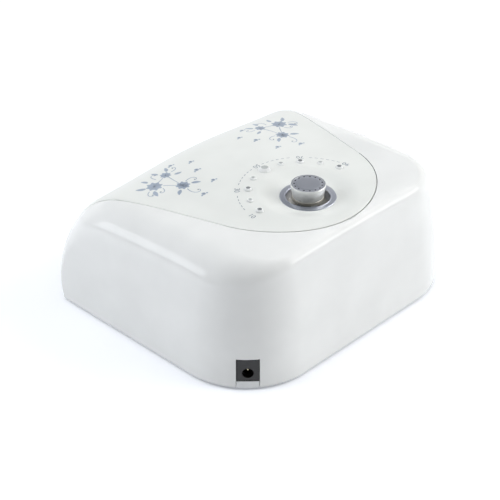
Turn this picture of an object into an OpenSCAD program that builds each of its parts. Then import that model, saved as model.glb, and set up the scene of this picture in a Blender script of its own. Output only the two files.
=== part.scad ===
// Nail curing lamp with a rotary push selector. Millimetres, +Z up, the hand opening faces -Y.
// The origin is on the table under the middle of the housing's plan.

/* [Housing] */
// Overall width of the housing
body_w = 187; // [176:1:205]
// Overall depth of the housing, nose to rear wall
body_d = 154.6; // [148:0.2:170]
// Height of the crown above the housing's lower edge
body_h = 76.5; // [74:0.5:84]
// Plan radius of the two rear corners
corner_r = 44; // [38:1:50]
// Wall thickness of the housing
wall = 2.5; // [2:0.1:3]
// Plan length of the nose, from its tip to the flat of the top
nose_len = 38.6; // [34:0.2:44]
// Height of the nose tip above the lower edge
nose_z = 15; // [12:0.5:20]
// How far the front face falls back under the nose
front_lean = 2.2; // [1:0.1:3]
// Width of the rolled edge along the sides
side_roll_w = 19.5; // [14:0.5:22]
// Height of the rolled edge along the sides
side_roll_h = 23; // [16:0.5:25]
// Width of the rolled edge along the rear
rear_roll_w = 4.8; // [3.5:0.1:5]
// Height of the rolled edge along the rear
rear_roll_h = 8; // [5:0.5:9]

/* [Top panel] */
// Radius of the panel's round rear end
panel_r = 57.5; // [54:0.5:60]
// Distance of that round end behind the origin
panel_y = 8; // [6:0.5:9]
// Slant of the panel's sides, growing wider to the front, in degrees
panel_flare = 14.7; // [12:0.1:16]
// Half width of the panel where it meets the hand opening
panel_half = 85.5; // [82:0.5:87]
// Thickness of the panel
panel_t = 2.4; // [2:0.1:2.8]
// Open gap between the panel and the housing
seam_gap = 0.4; // [0.3:0.05:0.6]
// Width of the housing's ledge under the panel's edge
ledge_w = 5; // [3:0.5:6]

/* [Hand opening] */
// Half width of the hand opening
mouth_half = 76; // [70:1:78]
// Height of the panel's lip above the lower edge
lip_z = 39.6; // [34:0.2:42]
// Depth of the reflector hood behind the origin
hood_rear = 44; // [36:1:46]
// Wall thickness of the reflector hood
hood_wall = 1.8; // [1.4:0.1:2.2]

/* [Selector] */
// Distance of the selector's axis behind the origin
knob_y = 33.1; // [32:0.1:35]
// Diameter of the knob
knob_d = 20; // [18:0.5:22]
// Height of the knob, rim to skirt
knob_h = 9.4; // [8:0.2:10]
// Outer diameter of the bezel ring
bezel_d = 32; // [30:0.5:34]
// Clear diameter inside the bezel ring
bezel_in_d = 24.6; // [24:0.2:26]
// Depth of the well around the knob
well_depth = 6; // [5:0.5:7]
// Travel of the knob when it is pressed
press_travel = 1; // [0.5:0.1:1.5]
// Depth of the dish around the selector
dish_depth = 3.4; // [2:0.1:4]

/* [Stones] */
// Radius of the arc of stones about the selector
stone_arc_r = 33.4; // [32:0.2:36]
// Angle between neighbouring stones
stone_step = 20; // [17:0.5:22]
// Diameter of the stones at the odd positions
stone_d = 4.8; // [4:0.1:5.4]
// Diameter of the small stones between them
small_stone_d = 3.8; // [3:0.1:4.2]
// Diameter of the centre stone
centre_stone_d = 7.5; // [6.5:0.1:8.5]

/* [Power inlet] */
// Width of the inlet's face
jack_w = 12.4; // [11:0.2:13]
// Height of the inlet's face
jack_h = 14; // [12:0.2:15]
// Diameter of the inlet's mouth
jack_bore_d = 6.3; // [6:0.1:6.6]

/* [Base] */
// Thickness of the base plate
base_t = 2.5; // [2.2:0.1:3]
// Height of the rubber feet below the housing's lower edge
foot_h = 1.5; // [1:0.1:3]
// Diameter of the rubber feet
foot_d = 10; // [8:0.5:12]

/* [Hidden] */
$fn = 48;

half_w = body_w / 2;
rear_y = body_d / 2;
front_y = -body_d / 2;
edge_z = foot_h;

// Shape of the top
crown_r = 800;
crown_y = 14;
dome_half = 60;
dome_sag = 3.2;
dome_taper = 0.036;
rear_fall_y = 41;
rear_fall_r = 190;
nose_n = 2.7;
nose_y = front_y + nose_len;
front_roll_w = 4;
front_roll_h = 3.6;

// Lean of the walls in degrees, at the lower edge and from lean_z up
lean_low = 0.4;
lean_high = 9;
lean_z = 50;

function clamp(t) = max(0, min(1, t));
function ease(t) = let(c = clamp(t)) c * c * (3 - 2 * c);
function mix(a, b, t) = a + (b - a) * t;
function unit(v) = v / norm(v);
function flipped(p) = [-p[0], p[1], p[2]];

// Inward lean of a wall at height z above the lower edge, and its slope
function lean(z) = let(t = min(z, lean_z), low = tan(lean_low), high = tan(lean_high))
    low * t + (high - low) * t * t / (2 * lean_z) + high * max(0, z - lean_z);
function lean_slope(z) = mix(tan(lean_low), tan(lean_high), clamp(z / lean_z));

// Height of the top above the table, where neither the nose nor a rolled edge lowers it
function crown(x, y) = let(q = clamp(pow(x / dome_half, 2)))
    edge_z + body_h - pow(y - crown_y, 2) / (2 * crown_r)
    - (dome_sag - dome_taper * y) * (1 - pow(1 - q, 2))
    - pow(max(0, y - rear_fall_y), 2) / (2 * rear_fall_r);

// The dish around the selector has a flat floor and ends short of the panel's rear edge
dish_in_r = bezel_d / 2 + 0.2;
dish_out_r = panel_y + panel_r - knob_y - 3.2;
dish_z = crown(0, knob_y) - dish_depth;
function dished(x, y) = let(r = norm([x, y - knob_y]))
    mix(dish_z, crown(x, y), ease((r - dish_in_r) / (dish_out_r - dish_in_r)));

// The nose is a quarter of a squared-off ellipse. The table holds its length up to each angle.
tip_z = edge_z + nose_z;
function nose_at(a) = [nose_len * pow(sin(a), 2 / nose_n),
    (crown(half_w, nose_y) - tip_z) * pow(max(0, cos(a)), 2 / nose_n)];
nose_parts = 60;
nose_angles = [for (i = [0 : nose_parts]) 90 * ease(i / nose_parts)];
nose_table = [for (i = 0, s = 0; i <= nose_parts;
    i = i + 1, s = s + (i > nose_parts ? 0 : norm(nose_at(nose_angles[i]) - nose_at(nose_angles[i - 1]))))
    [s, nose_angles[i]]];
nose_arc = nose_table[nose_parts][0];
function nose_angle(v) = lookup(nose_y - v, nose_table);

// Point of the top at x, and at v along the middle line. Behind the nose v is y; from there it
// runs over the nose for nose_arc, and then down the front face to the lower edge.
function face_fall(v) = clamp((nose_y - nose_arc - v) / nose_z);
function top_point(x, v) = let(
    a = nose_angle(v),
    s = face_fall(v),
    y = v > nose_y ? v : nose_y - nose_len * pow(sin(a), 2 / nose_n) + front_lean * s * s,
    k = v > nose_y ? 1 : pow(max(0, cos(a)), 2 / nose_n))
    [x, y, tip_z - nose_z * s + (dished(x, y) - tip_z) * k];
function top_normal(x, v, h = 0.5) = unit(cross(
    top_point(x + h, v) - top_point(x - h, v),
    top_point(x, v + h) - top_point(x, v - h)));

// The rolled edge along a side at v: where it starts, its width, height, direction and angle
function side_roll(v) = let(
    share = cos(nose_angle(v)),
    w = mix(front_roll_w, side_roll_w, share),
    h = mix(front_roll_h, side_roll_h, share),
    n = top_normal(half_w, v),
    z0 = max(0, top_point(half_w, v)[2] - h * n[2] - edge_z),
    start = atan(h / w * lean_slope(z0)),
    foot = top_point(half_w - lean(z0), v) - h * (1 - sin(start)) * n,
    x_in = half_w - lean(foot[2] - edge_z) - w * cos(start))
    [x_in, w, h, n, start, foot];
function side_point(x, v, roll) = let(t = clamp((x - roll[0]) / roll[1]))
    top_point(x, v) - roll[2] * (1 - sqrt(1 - t * t)) * roll[3];
function skin_point(x, v) = let(p = side_point(abs(x), v, side_roll(v)))
    x < 0 ? flipped(p) : p;
function skin_normal(x, v, h = 0.4) = unit(cross(
    skin_point(x + h, v) - skin_point(x - h, v),
    skin_point(x, v + h) - skin_point(x, v - h)));
function sunk(x, v, depth) = skin_point(x, v) - depth * skin_normal(x, v);

// Half width of the panel's outline at v, grown by off: an arc, its tangent, then straight down
function seam_x(v, off) = min(panel_half + off,
    (panel_r + off - (v - panel_y) * sin(panel_flare)) / cos(panel_flare));
seam_v = panel_y + panel_r * sin(panel_flare);

// Place of the panel's lip over the hand opening, and stations shared by panel and housing
lip_share = (lip_z - nose_z) / (dished(0, front_y) - tip_z);
lip_v = nose_y - lookup(acos(pow(lip_share, nose_n / 2)), [for (t = nose_table) [t[1], t[0]]]);
face_steps = 3;
under_steps = 3;
over_steps = 8;
side_steps = 5;
rear_steps = 15;
grid_steps = 2;
over_vs = [for (i = [0 : over_steps]) mix(lip_v, nose_y, i / over_steps)];
side_vs = [for (i = [1 : side_steps]) mix(nose_y, seam_v, i / side_steps)];
function rear_angle(i) = mix(panel_flare, 90, i / rear_steps);

// Section of the housing at v of a side: outer points from the lower edge to the ledge's tip,
// with the depth of the wall behind the seam
wall_rows = [0, 0.5, 1];
roll_rows = [0.2, 0.4, 0.6, 0.8, 1];
clip_gap = 0.2;
step_t = panel_t + clip_gap;
ledge_t = 2;
ledge_start = 4;
ledge_run = 6;
step_start = 6;
step_run = 5;
rim_t = 0.5;
function side_column(v) = let(
    roll = side_roll(v),
    foot = roll[5],
    z_foot = foot[2] - edge_z,
    x_seam = seam_x(v, seam_gap / 2),
    t_end = acos(clamp((max(x_seam + 1, roll[0]) - roll[0]) / roll[1])),
    run = clamp((nose_y - v) / (nose_arc + nose_z)),
    fold = foot[1] - top_point(0, v)[1] + 0.6,
    y_low = mix(v > nose_y ? v : nose_y, front_y + front_lean, run) + fold * run,
    held = clamp((v - lip_v - ledge_start) / ledge_run),
    sunken = clamp((v - lip_v + step_start) / step_run),
    x_roll = roll[0] + roll[1] * cos(t_end),
    n = skin_normal(x_seam, v),
    seam = skin_point(x_seam, v),
    step = seam - mix(wall / 2, step_t, sunken) * n,
    ledge = sunk(x_seam - mix(0.3, ledge_w, held), v, mix(wall / 2, step_t, sunken)))
    [[for (s = wall_rows) [half_w - lean(z_foot * s), mix(y_low, foot[1], s), edge_z + z_foot * s],
      for (s = roll_rows) let(t = mix(roll[4], t_end, s))
        side_point(roll[0] + roll[1] * cos(t), v, roll),
      side_point(mix(x_roll, x_seam, 0.5), v, roll),
      seam, step, ledge],
     max(mix(wall, step_t + ledge_t, held), mix(wall / 2, step_t, sunken) + rim_t)];

// The same at step i of the way round the rear, from the panel's tangent point to the middle
straight_l = rear_y - corner_r - seam_v;
round_l = corner_r * PI / 2;
function rear_outline(u) = let(
    d = u * (straight_l + round_l + half_w - corner_r),
    a = 90 * clamp((d - straight_l) / round_l))
    [[half_w - corner_r * (1 - cos(a)) - max(0, d - straight_l - round_l),
      min(d, straight_l) + seam_v + corner_r * sin(a)], a];
function rear_column(i) = let(
    o = rear_outline(i / rear_steps),
    p = o[0],
    n = [cos(o[1]), sin(o[1])],
    blend = ease(o[1] / 90),
    h = mix(side_roll_h, rear_roll_h, blend),
    q = p - 6 * n,
    z0 = crown(q[0], q[1]) - h - edge_z,
    g = rear_angle(i),
    seam = [cos(g), sin(g)] * (panel_r + seam_gap / 2) + [0, panel_y],
    room = norm(p - seam) - lean(z0) - 0.4,
    w = min(room, mix(side_roll_w, rear_roll_w, blend)),
    start = atan(h / w * lean_slope(z0)),
    z_foot = z0 + h * sin(start),
    inset = lean(z_foot) + w * cos(start),
    tip = [cos(g), sin(g)] * (panel_r + seam_gap / 2 - ledge_w) + [0, panel_y],
    band = mix(p - inset * n, seam, 0.5))
    [[for (s = wall_rows) let(e = p - lean(z_foot * s) * n) [e[0], e[1], edge_z + z_foot * s],
      for (s = roll_rows) let(t = mix(start, 90, s), e = p - (inset - w * cos(t)) * n)
        [e[0], e[1], crown(e[0], e[1]) - h * (1 - sin(t))],
      top_point(band[0], band[1]),
      top_point(seam[0], seam[1]),
      top_point(seam[0], seam[1]) - step_t * top_normal(seam[0], seam[1]),
      top_point(tip[0], tip[1]) - step_t * top_normal(tip[0], tip[1])],
     step_t + ledge_t];

function on_edge(p) = [p[0], p[1], edge_z];
foot_column = side_column(nose_y - nose_arc - nose_z);
half_columns = [
    [[for (p = foot_column[0]) on_edge(p)], foot_column[1]],
    for (i = [1 : face_steps - 1]) side_column(nose_y - nose_arc - nose_z * (1 - i / face_steps)),
    for (i = [0 : under_steps - 1]) side_column(mix(nose_y - nose_arc, lip_v, i / under_steps)),
    for (v = over_vs) side_column(v),
    for (v = side_vs) side_column(v),
    for (i = [1 : rear_steps]) rear_column(i)];
half_count = len(half_columns);
columns = concat(half_columns, [for (j = [half_count - 2 : -1 : 0])
    [[for (p = half_columns[j][0]) flipped(p)], half_columns[j][1]]]);

// Inner point behind outer point i of column j, square to the skin
rows = len(columns[0][0]);
seam_row = rows - 3;
function wall_normal(j, i) = let(
    a = columns[max(j - 1, 0)][0],
    b = columns[min(j + 1, len(columns) - 1)][0],
    p = columns[j][0])
    unit(cross(b[i] - a[i], p[min(i + 1, seam_row)] - p[max(i - 1, 0)]));
function inner_point(j, i) = let(
    p = columns[j][0],
    n = wall_normal(j, max(1, min(i, seam_row))),
    ledge = norm(p[seam_row + 1] - p[seam_row]),
    near = 1 - ease((norm(p[i] - p[seam_row]) - 1) / 3),
    q = i < seam_row ? p[i] - wall * n - [0, 0, (columns[j][1] - wall) * near] :
        i == seam_row ? mix(p[i], p[i - 1], 0.4) - columns[j][1] * n :
        p[i] - (columns[j][1] - ledge) * n)
    i == 0 || j == 0 || j == len(columns) - 1 ? on_edge(q) : q;

function quad(a, b, c, d) = [[a, b, c], [a, c, d]];
module skin() {
    ring = 2 * rows;
    last = len(columns) - 1;
    points = [for (j = [0 : last]) each concat(columns[j][0],
        [for (i = [rows - 1 : -1 : 0]) inner_point(j, i)])];
    walls = [for (j = [0 : last - 1], i = [0 : ring - 1]) let(
        a = j * ring + i, b = j * ring + (i + 1) % ring)
        each quad(a, b, b + ring, a + ring)];
    caps = [for (i = [0 : rows - 2]) let(
        a = i, b = i + 1, c = ring - 2 - i, d = ring - 1 - i, o = last * ring)
        each concat(quad(d, c, b, a), quad(o + b, o + c, o + d, o + a))];
    polyhedron(points = points, faces = concat(walls, caps));
}

// Screws and posts keep to the room between hood and housing. Posts reach up into the skin.
side_room = half_w - wall - mouth_half - hood_wall;
side_gap = 0.6;
screw_r = min(1.5, side_room / 5);
post_r = min(screw_r + 2, side_room / 2 - side_gap);
posts = [[mouth_half + hood_wall + side_gap + post_r, -30],
    [half_w - corner_r + 10.5, rear_y - 17.1]];
function post_top(p) = min(
    skin_point(p[0] + post_r, p[1])[2] - 0.8,
    p[1] > 0 ? crown(p[0], p[1]) - wall / 2 : body_h);

module outer_shell() {
    color("#f3f4f5") difference() {
        union() {
            skin();
            mirrored() for (p = posts)
                translate([p[0], p[1], base_top])
                    cylinder(r = post_r, h = post_top(p) - base_top);
        }
        mirrored() for (p = posts)
            translate([p[0], p[1], base_top - 1])
                cylinder(r = screw_r, h = screw_l + 1);
        at_jack(jack_face - 8)
            translate([0, -jack_w / 2 - fit_gap, -1])
                cube([20, jack_w + 2 * fit_gap, jack_z + jack_h + fit_gap + 1]);
    }
}

// The panel is a sheet: rings about the selector, then rows down over the nose to the lip
edge_off = -seam_gap / 2;
grid_vs = concat([for (i = [grid_steps - 1 : -1 : 0]) side_vs[i]],
    [for (i = [over_steps : -1 : 0]) over_vs[i]]);
grid_shares = [-1, -0.92, -0.8, -0.6, -0.4, -0.2, 0, 0.2, 0.4, 0.6, 0.8, 0.92, 1];
function edge_at(v) = [seam_x(v, edge_off), v];
side_edge = concat([for (i = [grid_steps - 1 : side_steps - 1]) edge_at(side_vs[i])],
    [for (i = [1 : rear_steps]) let(g = rear_angle(i))
        [cos(g), sin(g)] * (panel_r + edge_off) + [0, panel_y]]);
back_edge = concat(side_edge,
    [for (i = [len(side_edge) - 2 : -1 : 0]) [-side_edge[i][0], side_edge[i][1]]]);
back_n = len(back_edge) - 1;
ring_edge = concat(back_edge, [for (i = [1 : len(grid_shares) - 2])
    [grid_shares[i] * edge_at(grid_vs[0])[0], grid_vs[0]]]);
hole_r = 9;
ring_radii = [hole_r, for (s = [0, 0.25, 0.5, 0.75, 1]) mix(dish_in_r, dish_out_r, s)];
ring_shares = [0.35, 0.7, 1];

module sheet() {
    m = len(ring_edge);
    cols = len(grid_shares);
    rings = len(ring_radii) + len(ring_shares);
    last = len(grid_vs) - 1;
    knob = [0, knob_y];
    flat = concat(
        [for (r = ring_radii, e = ring_edge) knob + r * unit(e - knob)],
        [for (s = ring_shares, e = ring_edge) mix(knob + dish_out_r * unit(e - knob), e, s)],
        [for (i = [1 : last], s = grid_shares) [s * edge_at(grid_vs[i])[0], grid_vs[i]]]);
    count = len(flat);
    points = concat([for (p = flat) skin_point(p[0], p[1])],
        [for (p = flat) sunk(p[0], p[1], panel_t)]);
    function at(i, c) = i == 0 ? (rings - 1) * m + (back_n + c) % m : rings * m + (i - 1) * cols + c;
    patches = concat(
        [for (i = [0 : rings - 2], j = [0 : m - 1]) let(k = (j + 1) % m)
            [i * m + j, i * m + k, (i + 1) * m + k, (i + 1) * m + j]],
        [for (i = [0 : last - 1], c = [0 : cols - 2])
            [at(i, c), at(i, c + 1), at(i + 1, c + 1), at(i + 1, c)]]);
    rim = concat([for (j = [0 : back_n]) (rings - 1) * m + j],
        [for (i = [1 : last]) at(i, 0)],
        [for (c = [1 : cols - 1]) at(last, c)],
        [for (i = [last - 1 : -1 : 1]) at(i, cols - 1)]);
    polyhedron(points = points, faces = concat(
        [for (p = patches) each quad(p[0], p[1], p[2], p[3])],
        [for (p = patches) each quad(p[3] + count, p[2] + count, p[1] + count, p[0] + count)],
        [for (j = [0 : m - 1]) let(k = (j + 1) % m) each quad(k, j, j + count, k + count)],
        [for (i = [0 : len(rim) - 1]) let(a = rim[i], b = rim[(i + 1) % len(rim)])
            each quad(a, b, b + count, a + count)]));
}

module top_panel() {
    color("#f4f5f6") difference() {
        union() {
            sheet();
            mirrored() for (p = board_posts)
                translate([p[0], p[1], board_top])
                    cylinder(r = 3, h = top_point(p[0], p[1])[2] - panel_t / 2 - board_top);
        }
        at_selector(dish_z - panel_t - 1)
            cylinder(r = sleeve_r, h = panel_t + 2);
        at_selector(ring_seat_z)
            cylinder(r = bezel_d / 2, h = panel_t);
        for (i = [-4 : 4]) at_stone(i, -stone_seat)
            cylinder(r = stone_r(i), h = panel_t);
        for (i = [-4 : 4]) at_stone(i, -panel_t - 1)
            cylinder(r = stone_r(i) - stone_ledge, h = panel_t);
        mirrored() for (p = board_posts)
            translate([p[0], p[1], board_top - 1])
                cylinder(r = pcb_screw_r, h = 7);
    }
}

module mirrored() {
    children();
    mirror([1, 0, 0]) children();
}

// Clearances
fit_gap = 0.3;
slide_gap = 0.05;

// The base plate closes the housing from below and carries the feet and the inlet
base_top = edge_z + base_t;
screw_head_r = screw_r + 1.3;
screw_head_h = 1.2;
screw_l = 12;
foot_sink = 0.8;
feet = [[half_w - 16, front_y + 14], [half_w - corner_r + 0.5, rear_y - 11.3]];
hood_post_r = min(screw_r + 1.5, side_room / 2 - side_gap);
hood_posts = [for (y = [-48, 10]) [mouth_half + hood_wall + hood_post_r - 0.4, y]];

module base_outline(inset, front_inset) {
    x = half_w - corner_r;
    front = front_y + front_lean + front_inset;
    w = half_w - inset;
    translate([-w, front]) square([2 * w, rear_y - corner_r - front]);
    translate([-x, front]) square([2 * x, rear_y - inset - front]);
    for (side = [-1, 1]) translate([side * x, rear_y - corner_r]) circle(corner_r - inset, $fn = 96);
}

module slot(length, width) {
    square([width, length - width], center = true);
    for (side = [-1, 1]) translate([0, side * (length - width) / 2]) circle(width / 2);
}

module base_plate() {
    vents = 9;
    color("#e9ebee") difference() {
        union() {
            translate([0, 0, edge_z]) linear_extrude(base_t) {
                base_outline(wall + fit_gap, wall + fit_gap + 1.2);
                translate([-panel_half + fit_gap, front_y + front_lean])
                    square([2 * (panel_half - fit_gap), 10]);
            }
            translate([0, 0, edge_z]) linear_extrude(jack_z - edge_z) intersection() {
                base_outline(0.1, 0);
                translate([half_w - corner_r, rear_y - corner_r]) rotate(45)
                    translate([jack_face - jack_l, -jack_w / 2]) square([jack_l + 5, jack_w]);
            }
        }
        for (i = [0 : vents - 1])
            translate([(i - (vents - 1) / 2) * 8, (hood_rear + rear_y) / 2, edge_z - 1])
                linear_extrude(base_t + 2) slot(16, 3);
        mirrored() for (p = feet)
            translate([p[0], p[1], 0]) cylinder(d = foot_d, h = edge_z + foot_sink);
        mirrored() for (p = concat(posts, hood_posts)) translate([p[0], p[1], 0]) {
            cylinder(r = screw_head_r + fit_gap, h = edge_z + screw_head_h);
            cylinder(r = screw_r + 0.1, h = base_top + 1);
        }
    }
}

module rubber_feet() {
    color("#3a3c40") mirrored() for (p = feet) translate([p[0], p[1], 0]) rotate_extrude()
        polygon([[0, 0], [foot_d / 2 - 0.5, 0], [foot_d / 2, 0.5],
            [foot_d / 2, edge_z + foot_sink], [0, edge_z + foot_sink]]);
}

module screw(shank_r, length, head_r, head_h) {
    cylinder(r = head_r, h = head_h);
    cylinder(r = shank_r, h = head_h + length);
}

module base_screws() {
    color("#b9bcc0") mirrored() for (p = posts)
        translate([p[0], p[1], edge_z])
            screw(screw_r, base_t + screw_l - 3 - screw_head_h, screw_head_r, screw_head_h);
}

module hood_screws() {
    color("#b9bcc0") mirrored() for (p = hood_posts)
        translate([p[0], p[1], edge_z])
            screw(screw_r, base_t + 6 - screw_head_h, screw_head_r, screw_head_h);
}

// The reflector hood is a rounded tunnel, open to the front and standing on the base plate
hood_z = edge_z + lip_z - 2.2;
hood_top = hood_z + hood_wall;
hood_front = top_point(0, lip_v)[1] + panel_t + 4 * fit_gap;
arch_r = 18;
hood_r = 30;
rear_flat = 0.2;
flange_r = 4;

module round_ended(half, low, high, r) {
    translate([-half, low]) square([2 * half, high - r - low]);
    translate([-half + r, low]) square([2 * (half - r), high - low]);
    for (side = [-1, 1]) translate([side * (half - r), high - r]) circle(r, $fn = 96);
}

module tunnel(grow, front) {
    intersection() {
        translate([0, 0, base_top - 1]) linear_extrude(hood_top)
            round_ended(mouth_half + grow, front, hood_rear + grow, hood_r + grow);
        translate([0, hood_rear + 10, 0]) rotate([90, 0, 0]) linear_extrude(body_d)
            round_ended(mouth_half + grow, base_top - 1, hood_z + grow, arch_r + grow);
        translate([-half_w, 0, 0]) rotate([90, 0, 90]) linear_extrude(body_w) {
            translate([front, base_top - 1])
                square([hood_rear + grow - rear_flat - front, hood_z - arch_r - base_top + 1]);
            translate([front, base_top - 1])
                square([hood_rear - arch_r - front, hood_z + grow - base_top + 1]);
            intersection() {
                translate([hood_rear - arch_r, hood_z - arch_r]) circle(arch_r + grow, $fn = 96);
                translate([front, base_top - 1]) square([hood_rear + grow - rear_flat - front, hood_top]);
            }
        }
    }
}

module inner_hood() {
    color("#dfe3e8") difference() {
        union() {
            tunnel(hood_wall, hood_front);
            intersection() {
                translate([0, hood_front + hood_wall, 0]) rotate([90, 0, 0]) linear_extrude(hood_wall)
                    round_ended(panel_half - fit_gap, base_top, hood_top, flange_r);
                translate([-half_w, front_y, base_top]) cube([body_w, body_d, hood_top]);
            }
            mirrored() for (p = hood_posts)
                translate([p[0], p[1], base_top]) cylinder(r = hood_post_r, h = 8);
        }
        tunnel(0, hood_front - 5);
        translate([-half_w, front_y, 0]) cube([body_w, body_d, base_top]);
        mirrored() for (p = hood_posts)
            translate([p[0], p[1], 0]) cylinder(r = screw_r, h = base_top + 6);
        for (x = roof_xs, y = roof_ys) translate([x, y, hood_z - 1])
            cylinder(r = emitter_hole_r, h = hood_wall + 2);
        mirrored() for (y = side_ys) translate([mouth_half - 1, y, side_z]) rotate([0, 90, 0])
            cylinder(r = emitter_hole_r, h = hood_wall + 2);
        mirrored() for (p = led_screws) translate([p[0], p[1], hood_z - 1])
            cylinder(r = pcb_screw_r, h = hood_wall + 2);
    }
}

// Curing emitters on a board over the hood's roof and on one beside each of its walls
emitter_hole_r = 3.4;
emitter_r = 2.7;
roof_xs = [-39, -13, 13, 39];
roof_ys = [-42, -14, 14];
side_ys = [-22, -12, -2];
side_z = 13;
board_t = 1.6;
led_board_half = 50;
led_board_y = [-52, hood_rear - arch_r - 1];
led_screws = [for (y = [led_board_y[0] + 3.5, led_board_y[1] - 3.5]) [led_board_half - 4, y]];
pcb_screw_r = 1.25;

module emitter() {
    cylinder(r = emitter_r, h = hood_wall - 0.6);
    translate([0, 0, hood_wall - 0.6]) intersection() {
        translate([0, 0, -emitter_r * 0.6]) sphere(emitter_r * 1.17);
        cylinder(r = emitter_r, h = emitter_r);
    }
}

module led_board() {
    color("#e8eaec") difference() {
        translate([-led_board_half, led_board_y[0], hood_top])
            cube([2 * led_board_half, led_board_y[1] - led_board_y[0], board_t]);
        mirrored() for (p = led_screws) translate([p[0], p[1], hood_top - 1])
            cylinder(r = pcb_screw_r, h = board_t + 2);
    }
    color("#e8eaec") translate([plug_at[0], plug_at[1], hood_top + board_t])
        cube([plug_size[0], plug_size[1], plug_h]);
}

module led_board_screws() {
    color("#b9bcc0") mirrored() for (p = led_screws)
        translate([p[0], p[1], hood_top + board_t + 1.5]) rotate([180, 0, 0])
            screw(pcb_screw_r, board_t + hood_wall, 2.3, 1.5);
}

module led_emitters() {
    color("#f5e27a") for (x = roof_xs, y = roof_ys) translate([x, y, hood_top])
        rotate([180, 0, 0]) emitter();
}

module side_led_boards() {
    color("#e8eaec") mirrored()
        translate([mouth_half + hood_wall, side_ys[0] - 6, side_z - 6])
            cube([1.2, side_ys[2] - side_ys[0] + 12, 12]);
}

module side_led_emitters() {
    color("#f5e27a") mirrored() for (y = side_ys)
        translate([mouth_half + hood_wall, y, side_z]) rotate([0, -90, 0]) emitter();
}

// Selector: ring and cup clamp the panel, the encoder hangs below the cup
module at_selector(z) {
    translate([0, knob_y, z]) children();
}
ring_t = 1.2;
ring_proud = 0.4;
ring_top = dish_z + ring_proud;
ring_seat_z = ring_top - ring_t;
sleeve_r = bezel_in_d / 2 + 1.2;
cup_z = ring_top - well_depth;
cup_t = 1.5;
encoder_z = cup_z - cup_t;
encoder_w = 12;
encoder_h = 6.5;
board_top = encoder_z - encoder_h;

module bezel_ring() {
    r = bezel_in_d / 2;
    color("#d7dade") at_selector(0) rotate_extrude($fn = 96) polygon([
        [r, cup_z], [sleeve_r, cup_z], [sleeve_r, ring_seat_z], [bezel_d / 2, ring_seat_z],
        [bezel_d / 2, ring_top - 0.4], [bezel_d / 2 - 0.4, ring_top],
        [r + 0.9, ring_top], [r, ring_top - 0.9]]);
}

module bezel_cup() {
    rim = sleeve_r + 2;
    color("#5c6066") at_selector(0) rotate_extrude($fn = 96) polygon([
        [neck_r, encoder_z], [rim, encoder_z], [rim, dish_z - panel_t],
        [sleeve_r, dish_z - panel_t], [sleeve_r, cup_z], [neck_r, cup_z]]);
}

// Knob, worked out from its skirt up
skirt_sink = 1.5;
skirt_z = ring_top - skirt_sink;
knob_top = skirt_z + knob_h;
knob_r = knob_d / 2;
skirt_r = knob_r - 1.7;
collar_t = 0.7;
collar_h = 1.6;
cap_r = knob_r - 1.3;
cap_t = 1;
hub_r = 5;
shaft_r = 3;
shaft_top = knob_top - cap_t - 1.4;

// Outline of a shaft with one flat
module d_section(r) {
    intersection() {
        circle(r);
        translate([-r, -r]) square([1.5 * r, 2 * r]);
    }
}

module knob_body() {
    roof = knob_top - cap_t - 1.8;
    color("#cfd3d8") at_selector(0) difference() {
        rotate_extrude($fn = 96) polygon([
            [0, skirt_z + 1.5], [hub_r, skirt_z + 1.5], [hub_r, roof], [skirt_r - 0.6, roof],
            [skirt_r - 1.2, skirt_z], [skirt_r, skirt_z], [skirt_r, skirt_z + collar_h],
            [skirt_r + 0.4, skirt_z + collar_h], [knob_r, knob_top - 0.5],
            [knob_r - 0.1, knob_top - 0.15], [knob_r - 0.4, knob_top], [cap_r, knob_top],
            [cap_r, knob_top - cap_t], [0, knob_top - cap_t]]);
        translate([0, 0, skirt_z]) linear_extrude(shaft_top - skirt_z) d_section(shaft_r);
    }
}

module knob_cap() {
    dots = 15;
    color("#4c5a68") at_selector(0) difference() {
        translate([0, 0, knob_top - cap_t]) cylinder(r = cap_r, h = cap_t - 0.2, $fn = 96);
        for (i = [0 : dots - 1]) rotate(i * 360 / dots) translate([cap_r - 2, 0, knob_top - 0.5])
            cylinder(r = 0.45, h = 1, $fn = 16);
    }
}

module knob_collar() {
    color("#d7dade") at_selector(skirt_z) difference() {
        cylinder(r = skirt_r + collar_t, h = collar_h, $fn = 96);
        translate([0, 0, -1]) cylinder(r = skirt_r, h = collar_h + 2, $fn = 96);
    }
}

// Push encoder: the rotor turns in the body, the shaft slides through it onto a dome switch
neck_r = 3.5;
neck_top = cup_z + 3;
chamber_r = 5.3;
chamber_z = board_top + 0.8;
rotor_z = encoder_z - 3.8;
rotor_h = 1.8;
dome_h = 0.3;
shaft_low = chamber_z + dome_h + press_travel + 0.1;

module encoder_shaft() {
    color("#a9adb2") at_selector(0) intersection() {
        translate([0, 0, shaft_low]) cylinder(r = shaft_r, h = shaft_top - shaft_low);
        union() {
            translate([0, 0, shaft_low]) linear_extrude(shaft_top - shaft_low) d_section(shaft_r);
            translate([0, 0, encoder_z - 1]) cylinder(r = shaft_r + 1, h = neck_top - encoder_z + 0.5);
        }
    }
}

module encoder_rotor() {
    color("#e5e1d6") at_selector(rotor_z) difference() {
        cylinder(r = chamber_r - fit_gap, h = rotor_h);
        translate([0, 0, -1]) linear_extrude(rotor_h + 2) d_section(shaft_r + slide_gap);
    }
}

module encoder_body() {
    color("#3d6b4a") at_selector(0) difference() {
        union() {
            translate([-encoder_w / 2, -encoder_w / 2, board_top])
                cube([encoder_w, encoder_w, encoder_h]);
            translate([0, 0, board_top + 1]) cylinder(r = neck_r, h = neck_top - board_top - 1);
        }
        translate([0, 0, chamber_z]) cylinder(r = chamber_r, h = rotor_z + rotor_h + fit_gap - chamber_z);
        translate([0, 0, chamber_z]) cylinder(r = shaft_r + slide_gap, h = body_h);
    }
}

module encoder_washer() {
    color("#c4c7cb") at_selector(cup_z) difference() {
        cylinder(r = 5.6, h = 0.5);
        translate([0, 0, -1]) cylinder(r = neck_r, h = 3);
    }
}

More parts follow.
